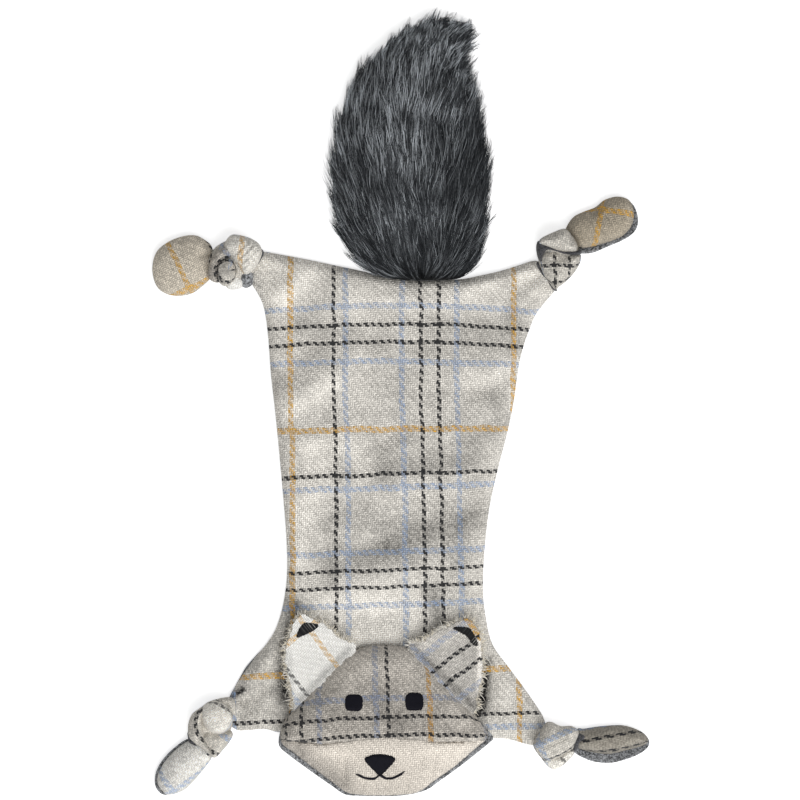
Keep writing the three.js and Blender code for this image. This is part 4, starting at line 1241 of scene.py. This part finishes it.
def lay_torso_cloth(piece):
    """The yarns of the torso's cloth, from the lines that were measured and how they sag"""
    columns, rows = pixels_of(places_of(piece))
    sag = 0.00034 * (columns - 395) ** 2 * np.clip((470 - rows) / 145, 0, 1)
    tilt = -0.034 * (columns - 402) * np.clip((rows - 400) / 75, 0, 1)
    slip = 2.2 * np.clip((rows - 395) / 55, 0, 1)
    slip += 0.016 * (columns - 290) * np.clip((rows - 470) / 120, 0, 1)
    set_cloth(piece, np.interp(columns - slip, *np.transpose(TORSO_COLUMNS)),
              np.interp(rows - sag - tilt, *np.transpose(TORSO_ROWS)))


def add_torso():
    outline = through(spot(TORSO_OUTLINE), TORSO_STEP)
    net, edge = filled(outline, TORSO_STEP)
    top = torso_height(net[0], edge)
    inner = np.maximum(top - WOOL * domed(edge, 3 * MM) - 0.25 * MM, TORSO_SEAM + SEAM_GAP)
    front = shell("torso_front", net, np.maximum(top, inner + 0.2 * MM), inner, TARTAN)
    lay_torso_cloth(front)
    # Soft patches of painted light and shade on the torso
    brushed(front, TORSO_PAINTED_SHADING)
    columns, rows = pixels_of(outline)
    bare_edge = np.clip(1 - np.abs(rows - BARE_ROW) / BARE_REACH, 0, 1) * (columns < BARE_COLUMNS)
    lip = (2.9 * bare_edge - 0.9) * PIXEL
    wide = through(outline - inward(outline) * lip[:, None], 2 * MM)
    net, edge = filled(wide, 2.4 * MM)
    low = 1.1 * MM * (1 - domed(edge, 3.2 * MM)) + np.abs(wavy(net[0], 7 * MM, seed=5)) * 0.12 * MM
    back = felt_back("torso_back", net, edge, low, thin=0.35, high=TORSO_SEAM)
    for piece, cut, under, slot in ((front, outline, "torso_back", "tartan_wool"),
                                    (back, wide, "floor", "grey_felt")):
        turned_area(cut)
        dress(piece, "torso", f"{piece.name}_panel")


# Padded pieces: the upper cloth of each is blown up by air over its seam


def blown(points, triangles, held, frames, cap):
    """The places of a cloth after air has swollen it, with its held points still"""
    cloth_piece = piece_from("cloth", points * SIMULATION_SCALE, triangles)
    group = cloth_piece.vertex_groups.new(name="held")
    group.add([int(index) for index in np.flatnonzero(held)], 1, "REPLACE")
    settings = cloth_piece.modifiers.new("air", "CLOTH").settings
    settings.vertex_group_mass = "held"
    settings.use_pressure = True
    settings.uniform_pressure_force = AIR_PRESSURE
    settings.shrink_min = -CLOTH_SLACK
    settings.effector_weights.gravity = 0
    for moment in range(1, frames + 1):
        bpy.context.scene.frame_set(moment)
    swollen = places_of(cloth_piece.evaluated_get(bpy.context.evaluated_depsgraph_get()))
    bpy.data.objects.remove(cloth_piece)
    bpy.context.scene.frame_set(1)
    move = swollen / SIMULATION_SCALE - points
    reach = np.linalg.norm(move, axis=1, keepdims=True)
    return points + move * np.minimum(1, cap / np.maximum(reach, 1e-9))


# Head


def brow_at(columns):
    """The pixel rows of the seam across the brow"""
    return np.interp(columns, *through(BROW_SEAM, 2, closed=False).T)


def head_surface():
    """The net of the head's upper cloth, its swollen places and which triangles are forehead"""
    outline = through(spot(HEAD_OUTLINE), HEAD_STEP)
    seam = through(spot(BROW_SEAM), HEAD_STEP, closed=False)
    (flat, triangles), edge = filled(outline, HEAD_STEP, lines=[seam])
    brow = distances(flat, through(spot(BROW_SEAM), HEAD_STEP / 4, closed=False))
    columns, rows = pixels_of(flat)
    above = rows < brow_at(columns)
    near_top = 1 - (1 - np.clip(brow / (48 * MM), 0, 1)) ** 2
    slope = np.where(above, 1 - 0.52 * near_top, 1 - 0.36 * brow / (28 * MM))
    level = HEAD_SEAM + 0.4 * MM + 0.94 * (HEAD_TOP - HEAD_SEAM) * slope * (
        0.6 * domed(edge, 7 * MM, 2) + 0.4 * domed(edge, 22 * MM, 2))
    swollen = blown(np.column_stack([flat, level]), triangles, edge < HEAD_STEP * 0.2,
                    frames=24, cap=2.2 * MM)
    change = -1.2 * MM * np.exp(-((brow / (0.9 * MM)) ** 2))
    change += np.where(above, 0.9, 0) * MM * np.exp(-(((brow - 2.4 * MM) / (1.8 * MM)) ** 2))
    change += wavy(flat, 12 * MM, seed=11) * 0.3 * MM + creased(flat, HEAD_FOLDS)
    change += puckers(flat, edge, 7 * MM, seed=12, turns=8, middle=2.6 * MM,
                      reach=2.4 * MM) * 0.3 * MM
    level = swollen[:, 2] + change * domed(edge, 5 * MM)
    swollen[:, 2] = np.minimum(level, HEAD_TOP + 0.6 * MM)
    columns, rows = pixels_of(flat[triangles].mean(axis=1))
    return swollen, triangles, rows < brow_at(columns)


def add_head():
    points, triangles, forehead = head_surface()
    brow = thickened("forehead", points, triangles[forehead], STRETCHED_WOOL, SHADED_TARTAN)
    muzzle = thickened("muzzle", points, triangles[~forehead], STRETCHED_WOOL, CREAM_WOOL)
    laid = unrolled(places_of(brow), through(spot(HEAD_OUTLINE), HEAD_STEP), HEAD_SEAM + 5 * MM)
    bow = 4 * (1 - ((pixels_of(places_of(brow))[0] - 388) / 95) ** 2)
    lay_cloth(brow, (431, 719), (-0.03, -1), (0, 79), flat=laid, bow=bow * PIXEL / WEFT_PITCH)
    lay_cloth(muzzle, (380, 765), (0, 1), (0, 0))
    # Patches of painted light and shade on the forehead and the muzzle
    brushed(brow, BROW_PAINTED_SHADING)
    brushed(muzzle, MUZZLE_PAINTED_SHADING)
    net, edge = filled(through(spot(HEAD_BACK_OUTLINE), 2 * MM), 2.4 * MM)
    low = HEAD_BOTTOM + 2 * MM * (1 - domed(edge, 7 * MM, 3))
    back = felt_back("head_back", net, edge, low, thin=0.3, high=HEAD_SEAM + 0.1 * MM)
    for piece, slot in ((brow, "tartan_wool"), (muzzle, "cream_wool"), (back, "grey_felt")):
        dress(piece, "head", f"{piece.name}_panel")
    return cast_tree(points, triangles)


# Embroidery: threads side by side across a shape, over a low pad of the same thread


def satin(name, outline, turn, tree, swell, body, thread=EMBROIDERY):
    """Threads that lie across an outline at an angle, each from edge to edge"""
    outline = through(outline, 0.5 * MM)
    middle = outline.mean(axis=0)
    way = np.array([math.cos(math.radians(turn)), math.sin(math.radians(turn))])
    across = left_of(way)
    along, side = (outline - middle) @ way, (outline - middle) @ across
    next_along, next_side = np.roll(along, -1), np.roll(side, -1)
    paths = []
    for row in np.arange(side.min() + STITCH * 0.3, side.max(), STITCH * 0.82):
        crosses = (side > row) != (next_side > row)
        share = (row - side[crosses]) / (next_side[crosses] - side[crosses])
        ends = along[crosses] + share * (next_along[crosses] - along[crosses])
        if len(ends) < 2:
            continue
        spread = DRAWS.normal(0, 0.12 * MM, 2)
        places = np.linspace(ends.min() + spread[0], ends.max() + spread[1], SATIN_STEPS)
        paths.append(middle + places[:, None] * way + row * across)
    flat = np.vstack(paths)
    level = levels(tree, flat) + 0.1 * MM + swell * domed(distances(flat, outline), 1.6 * MM, 2)
    threads = np.column_stack([flat, level]).reshape(len(paths), SATIN_STEPS, 3)
    threads[:, [0, -1], 2] -= 0.5 * MM
    piece = strands(name, threads, np.full(threads.shape[:2], STITCH * 0.52), thread,
                    DRAWS.random(len(paths)) ** 12, sides=6)
    dress(piece, body, name)


def add_face(tree):
    for side, ((x, y), width, height, turn) in EYES.items():
        outline = spot([(x + across * width, y - up * height) for across, up in EYE_SHARES])
        satin(f"eye_{side}", outline, turn, tree, swell=0.7 * MM, body="head")
    satin("nose", spot(NOSE), 90, tree, swell=1 * MM, body="head")
    path = through(spot(MOUTH), 0.62 * MM, closed=False)
    along = unit(np.gradient(path, axis=0))
    share = np.linspace(-1, 1, 7)[None, :, None]
    lay = along * 1.2 * MM + left_of(along) * 0.46 * MM
    flat = path[:, None] + share * lay[:, None]
    level = levels(tree, flat.reshape(-1, 2)).reshape(flat.shape[:2])
    level += 0.45 * MM * (1 - share[..., 0] ** 4) - 0.1 * MM
    mouth = strands("mouth", np.dstack([flat, level]), np.full(level.shape, STITCH * 0.72),
                    EMBROIDERY, DRAWS.random(len(path)), sides=6)
    dress(mouth, "head", "mouth")


# Ears


def add_ear(side, material):
    shape = EARS[side]
    name = f"ear_{side}"
    outline = through(spot(shape["outline"]), EAR_STEP)
    ragged = wavy(outline, 1.8 * MM, seed=21, depth=3) * 0.8 * MM
    outline = outline + inward(outline) * ragged[:, None]
    net, edge = filled(outline, EAR_STEP)
    flat, triangles = net
    first, last = spot(shape["outline"][0]), spot(shape["outline"][-1])
    across = left_of(unit(last - first))
    rise = np.abs((flat - first) @ across)
    curl = 1.1 * MM * (rise / (30 * MM)) ** 2 - 0.5 * MM * domed(edge, 8 * MM)
    curl += wavy(flat, 11 * MM, seed=23) * 0.45 * MM
    half = EAR_THICKNESS / 2 * (0.45 + 0.55 * domed(edge, 1.6 * MM))
    top = np.minimum(EAR_LEVEL + curl + half, EAR_HIGHEST)
    ear = shell(name, net, top, np.maximum(top - 2 * half, EAR_LOWEST), material)
    lay_cloth(ear, *shape["cloth"])
    # Patches of painted light and shade on the ear, such as the shade at its root
    brushed(ear, shape["painted_shading"])
    turned_area(outline)
    dress(ear, name, name)
    tree = cast_tree(np.column_stack([flat, top]), triangles)
    satin(f"ear_tip_{side}", spot(shape["patch"]), shape["stitch_turn"], tree, swell=0.35 * MM,
          body=name, thread=WORN_THREAD)
    free = np.abs((outline - first) @ across) > 2.5 * MM
    add_frays(side, outline[free], -inward(outline)[free])


def add_frays(side, edge, ways_out):
    """Short loose fibres that stick out of the cut edge of an ear"""
    chosen = DRAWS.integers(0, len(edge), FRAYS)
    out = ways_out[chosen]
    slide = left_of(out) * DRAWS.normal(0, 0.8, FRAYS)[:, None]
    roots = np.column_stack([
        edge[chosen] - out * 0.5 * MM + slide * 0.3 * MM,
        EAR_LEVEL + DRAWS.uniform(-0.6, 0.9, FRAYS) * MM])
    length = DRAWS.gamma(3, 0.6, FRAYS)[:, None] * MM
    ends = roots + np.column_stack([(out + slide * 0.7) * length,
                                    DRAWS.normal(0, 0.35, FRAYS) * length[:, 0]])
    ways = np.column_stack([out * length * 0.5, DRAWS.normal(0.1, 0.3, FRAYS) * length[:, 0]])
    radii = np.tile([0.2, 0.19, 0.14, 0.04], (FRAYS, 1)) * MM
    piece = strands(f"ear_frays_{side}", bent(roots, ways, ends, 4), radii, FRAY,
                    DRAWS.random(FRAYS))
    dress(piece, f"ear_{side}")


# Legs: the cloth that runs from the torso into each knot, the knots and the paws


def add_sleeve(limb):
    """The narrow stretch of a leg between the torso and the knot: wool over felt"""
    joint = f"leg_swing_{limb}"
    place, way = bend_at(joint)
    place, way = place[:2], way[:2]
    corners = [place + way * along + left_of(way) * side * SLEEVE_HALF_WIDTH
               for along, side in ((SLEEVE_START, -0.6), (SLEEVE_MIDDLE, -1), (SLEEVE_END, -0.7),
                                   (SLEEVE_END, 0.7), (SLEEVE_MIDDLE, 1), (SLEEVE_START, 0.6))]
    net, edge = filled(through(corners, SLEEVE_STEP), SLEEVE_STEP)
    inside_knot = np.clip(((net[0] - place) @ way - 3 * MM) / (8 * MM), 0, 1)
    swell = (domed(edge, 3.2 * MM) + 0.05) * MM
    level = (2.7 + 4.1 * inside_knot) * MM
    upper = shell(f"leg_upper_{limb}", net, level + (0.9 + 2.5 * inside_knot) * swell, level,
                  KNOT_TARTAN)
    columns, rows = pixels_of(place[None])
    lay_cloth(upper, (columns[0], rows[0]), (0, 1), PLAIN_YARNS)
    under = shell(f"leg_under_{limb}", net, level - 0.05 * MM,
                  level - (1.0 + 2.4 * inside_knot) * swell, GREY_FELT)
    for piece, slot in ((upper, "tartan_wool"), (under, "grey_felt")):
        bend(piece)


def add_lobe(limb, part, outline, level, rise, fall, stuff, cloth, creases):
    """A rounded lobe of wound cloth, with creases across its upper side"""
    outline = through(spot(outline), LOBE_STEP)
    net, edge = filled(outline, LOBE_STEP)
    swell = np.sqrt(1 - (1 - edge / edge.max()) ** 2) ** 0.85
    waves = creased(net[0], creases) + wavy(net[0], 5 * MM, seed=len(limb) + rise) * 0.35 * MM
    top = (level + rise * swell) * MM + waves * domed(edge, 2.5 * MM)
    low = np.maximum((level - 0.15 - fall * swell) * MM, 0.15 * MM)
    top = np.clip(top, low + 0.1 * MM, KNOT_TOP)
    piece = shell(f"knot_{part}_{limb}", net, top, low, STUFFS[stuff])
    laid = unrolled(places_of(piece), outline, (level + rise * 0.6) * MM)
    if cloth and cloth[0] == "round":
        wind_cloth(piece, *cloth[1:], flat=laid)
    elif cloth:
        lay_cloth(piece, *cloth, flat=laid)
    dress(piece, f"knot_{limb}", f"knot_{limb}")


def paw_pleats(away, limb):
    """Pleats that run out from the knot, between -1 and 1"""
    angles = np.arctan2(away[:, 1], away[:, 0])
    return np.array([noise.noise(Vector((math.cos(angle) * 5, math.sin(angle) * 5, len(limb))))
                     for angle in angles])


def add_paw(limb):
    shape = PAWS[limb]
    outline = through(spot(shape["outline"]), PAW_STEP)
    (flat, triangles), edge = filled(outline, PAW_STEP)
    low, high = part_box(f"knot_{limb}")
    away = flat - [(low.x + high.x) / 2, (low.y + high.y) / 2]
    drawn = np.clip((np.linalg.norm(away, axis=1) - 8 * MM) / (14 * MM), 0, 1)
    rise = (PAW_TOP - PAW_SEAM) * (0.72 + 0.28 * drawn)
    level = PAW_SEAM + 0.25 * MM + rise * (
        0.5 * domed(edge, 5 * MM, 2) + 0.38 * domed(edge, 13 * MM))
    swollen = blown(np.column_stack([flat, level]), triangles, edge < PAW_STEP * 0.2,
                    frames=16, cap=1.4 * MM)
    near_edge = domed(edge, 3 * MM)
    level = swollen[:, 2] + paw_pleats(away, limb) * 1.5 * MM * (1 - drawn) * near_edge
    level += wavy(flat, 8 * MM, seed=31) * 0.35 * MM * domed(edge, 4 * MM)
    level += creased(flat, shape["creases"]) * near_edge
    swollen[:, 2] = np.minimum(level, PAW_TOP + 0.3 * MM)
    front = thickened(f"paw_front_{limb}", swollen, triangles, STRETCHED_WOOL, LIMB_TARTANS[limb])
    lay_cloth(front, *shape["cloth"], flat=unrolled(places_of(front), outline, PAW_SEAM + 3 * MM))
    net, edge = filled(through(spot(shape["felt"]), 1.6 * MM), 1.8 * MM, 0.4 * MM)
    low = 3.2 * MM * (1 - domed(edge, 8 * MM, 2.4))
    back = felt_back(f"paw_back_{limb}", net, edge, low, thin=0.3, high=PAW_SEAM + 0.1 * MM)
    for piece, face, slot in ((front, "front", "tartan_wool"), (back, "back", "grey_felt")):
        bend(piece)
        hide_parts(f"paw_{face}_{limb}")


# Tail


def bend_tail(piece):
    """Bakes the placement of a piece of the tail into its mesh"""
    bend(piece)


def turned(ways, angles):
    """Level ways turned right by angles"""
    cosine, sine = np.cos(angles), np.sin(angles)
    return np.column_stack([ways[:, 0] * cosine + ways[:, 1] * sine,
                            ways[:, 1] * cosine - ways[:, 0] * sine])


def tail_flow(flat, outline):
    """Which way the fur lies at each point seen from above: along the tail's line, and fanned
    outwards near its edges"""
    line = through(spot(TAIL_LINE), 2 * MM, closed=False)
    beside = nearest(flat, line)[0]
    way = unit(np.gradient(line, axis=0))[beside]
    side = -np.sum((flat - line[beside]) * left_of(way), axis=1)
    aside = side / (np.abs(side) + distances(flat, through(outline, 1 * MM)))
    rows = pixels_of(flat)[1]
    low_down = np.clip((rows - 60) / 150, 0, 1)
    root = np.clip((rows - 200) / 70, 0, 1)
    fan = np.where(side > 0, 36 + 4 * root, 36 * low_down + 2 * root)
    return turned(way, np.sign(side) * np.abs(aside) ** 1.8 * np.radians(fan))


def add_fur(name, places, normals, outline, length, lift, thick, tone, pull=(0.45, 0.95)):
    """Strands that leave a surface and lie over along the flow, drawn together into locks by a
    pull. The tone gives the shape of the spread of pale hairs, and how pale they are at most"""
    count = len(places)
    swirl = wavy(places, 15 * MM, seed=41) * 0.35 + DRAWS.normal(0, 0.1, count)
    lie = solid(turned(tail_flow(places[:, :2], outline), -swirl))
    lie = unit(lie - normals * np.sum(lie * normals, axis=1)[:, None])
    columns, rows = pixels_of(places)
    near_tip = np.clip((rows + 6) / 110, 0.32, 1)
    reach = length * (near_tip * DRAWS.uniform(0.55, 1.15, count))[:, None]
    rise = lift * DRAWS.uniform(0.6, 1.4, count)[:, None]
    ends = places + lie * reach + normals * reach * rise
    locks = DRAWS.integers(0, count, count // 8)
    lock = nearest(places, places[locks])[0]
    pull = DRAWS.uniform(*pull, count)[:, None]
    strayed = DRAWS.normal(0, 1.6 * MM, (len(locks), 3)) * [1, 1, 0.4]
    ends = ends + (ends[locks[lock]] - ends) * pull + strayed[lock]
    ways = lie * reach * 0.38 + normals * reach * (rise + 0.22)
    paths = bent(places, ways, ends, len(FUR_TAPER))
    paths[..., 2] = np.clip(paths[..., 2], FUR_LOWEST, FUR_HIGHEST)
    radii = DRAWS.uniform(0.75, 1.25, count)[:, None] * thick * np.array(FUR_TAPER)
    # Hairs are painted paler towards the left and the top as painted light, over broad random
    # patches of tone
    lit = np.clip(1.05 - (columns - 400) / 160 - (rows - 150) / 130, 0.35, 1.6)
    broad = np.clip(wavy(places, 20 * MM, seed=44) * 0.8 + 0.75, 0.3, 1.3) * lit
    *spread, palest = tone
    of_lock = DRAWS.beta(*spread, len(locks))[lock]
    tones = np.clip((0.5 * of_lock + DRAWS.beta(*spread, count)) * broad * palest, 0, 1)
    piece = strands(name, paths, radii, FUR, tones)
    bend_tail(piece)


def scatter(points, triangles, count):
    """Places spread evenly over a surface, and the normals there"""
    a, b, c = (points[triangles[:, corner]] for corner in range(3))
    areas = np.linalg.norm(np.cross(b - a, c - a), axis=1)
    chosen = triangles[DRAWS.choice(len(triangles), count, p=areas / areas.sum())]
    first, second = np.sqrt(DRAWS.random(count)), DRAWS.random(count)
    shares = np.column_stack([1 - first, first * (1 - second), first * second])[:, :, None]
    ways = np.sum(normals_of(points, triangles)[chosen] * shares, axis=1)
    return np.sum(points[chosen] * shares, axis=1), unit(ways)


def add_tail():
    outline = through(spot(TAIL_OUTLINE), TAIL_STEP)
    (flat, triangles), edge = filled(outline, TAIL_STEP)
    rows = pixels_of(flat)[1]
    root = np.clip((286 - rows) / 60, 0, 1) ** 0.7
    tip = np.clip((rows - 36) / 110, 0, 1) ** 0.6
    full = (TAIL_TOP - TAIL_SEAM) * (0.3 + 0.7 * root) * (0.35 + 0.65 * tip)
    top = TAIL_SEAM + 0.2 * MM + full * domed(edge, 26 * MM, 2.4)
    low = TAIL_SEAM - 4.6 * MM * domed(edge, 18 * MM, 2.4)
    upper = (np.column_stack([flat, top]), triangles)
    lower = (np.column_stack([flat, low]), triangles[:, ::-1])
    for name, surface_net in (("tail_front", upper), ("tail_back", lower)):
        piece = thickened(name, *surface_net, FELT, FUR_ROOTS)
        bend_tail(piece)
        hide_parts(name + "_fur")
    for name, count, look in (("tail_fur", FUR_STRANDS, FUR_LOOK),
                              ("tail_guard", GUARD_STRANDS, GUARD_LOOK)):
        places, normals = scatter(*upper, count)
        for start in range(0, count, STRANDS_PER_PIECE):
            part = slice(start, start + STRANDS_PER_PIECE)
            add_fur(f"{name}_{start // STRANDS_PER_PIECE + 1}", places[part], normals[part],
                    outline, *look)
    add_fur("tail_fur_under", *scatter(*lower, UNDER_STRANDS), outline, *UNDER_LOOK)
    return cast_tree(*upper)


# Pieces inside, which only show when a seam is open


def add_stuffing(name, outline, inset, crumple, thick, material, slot, body, cover=None):
    """A loose filling or sheet that fits inside an outline, within its CAD piece's levels and
    under the cover"""
    outline = through(spot(outline), STUFFING_STEP)
    (flat, triangles), edge = filled(outline, STUFFING_STEP, 0.6 * MM)
    low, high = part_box(name)
    margin = 1 * MM
    within = (flat > np.array(low[:2]) - margin) & (flat < np.array(high[:2]) + margin)
    chosen = ((edge > inset) & within.all(axis=1))[triangles].all(axis=1)
    flat, triangles, used = trimmed(flat, triangles[chosen])
    swell = domed(edge[used] - inset, thick)
    lumps = 0.1 * wavy(flat, crumple, seed=len(name)) * swell
    middle, half = (low.z + high.z) / 2, (high.z - low.z) / 2
    top = middle + half * (0.1 + 0.8 * swell + lumps)
    base = middle - half * (0.1 + 0.8 * swell - lumps)
    if cover:
        top = np.minimum(top, levels(cover, flat) - 2.4 * MM)
        base = np.minimum(base, top - 0.3 * MM)
    piece = shell(name + "_loose", (flat, triangles), top, base, material)
    if slot == "wadding":
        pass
    else:
        start, end = flat[rim_edges(triangles)].transpose(1, 0, 2)
        area = np.sum(start[:, 0] * end[:, 1] - end[:, 0] * start[:, 1]) / 2
    dress(piece, body, name)


def add_insides(head_cover, tail_cover):
    padding = (9 * MM, 14 * MM, WADDING, "wadding")
    add_stuffing("head_filling", HEAD_OUTLINE, 6 * MM, *padding, "head", head_cover)
    add_stuffing("tail_filling", TAIL_OUTLINE, 10 * MM, *padding, "tail", tail_cover)
    add_stuffing("crinkle_sheet", TORSO_OUTLINE, 9 * MM, 6 * MM, 0.5 * MM, FILM, "crinkle_film",
                 "torso")
    for home in ("head", "tail"):
        for part in ("bulb", "reed"):
            materials = frame["nodes"][f"{home}_squeaker_{part}"].data.materials
            materials.clear()
            materials.append(PLASTIC)


def add_neck_stitches():
    low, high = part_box("neck_seam_thread")
    count = round((high.x - low.x) / NECK_STITCH)
    places = np.linspace(low.x + NECK_STITCH / 2, high.x - NECK_STITCH / 2, count)[:, None]
    share = np.linspace(-1, 1, 7)[None, :]
    threads = np.dstack([
        places + share * 1.1 * MM,
        (low.y + high.y) / 2 + 0.2 * MM * share + 0 * places,
        low.z + 0.25 * MM + 0.3 * MM * (1 - share ** 4) + 0 * places])
    thread = strands("neck_stitches", threads, np.full(threads.shape[:2], 0.22 * MM), SEWING,
                     DRAWS.random(count), sides=6)
    dress(thread, "torso", "neck_seam_thread")


add_camera()
add_lights()
add_floor()
add_torso()
HEAD_COVER = add_head()
add_face(HEAD_COVER)
add_ear("left", REVERSE)
add_ear("right", EAR_TARTAN)
for limb, lobes in KNOTS.items():
    add_sleeve(limb)
    for lobe in lobes:
        add_lobe(limb, *lobe)
    add_paw(limb)
add_insides(HEAD_COVER, add_tail())
add_neck_stitches()

bpy.context.scene.view_settings.view_transform = "Standard"
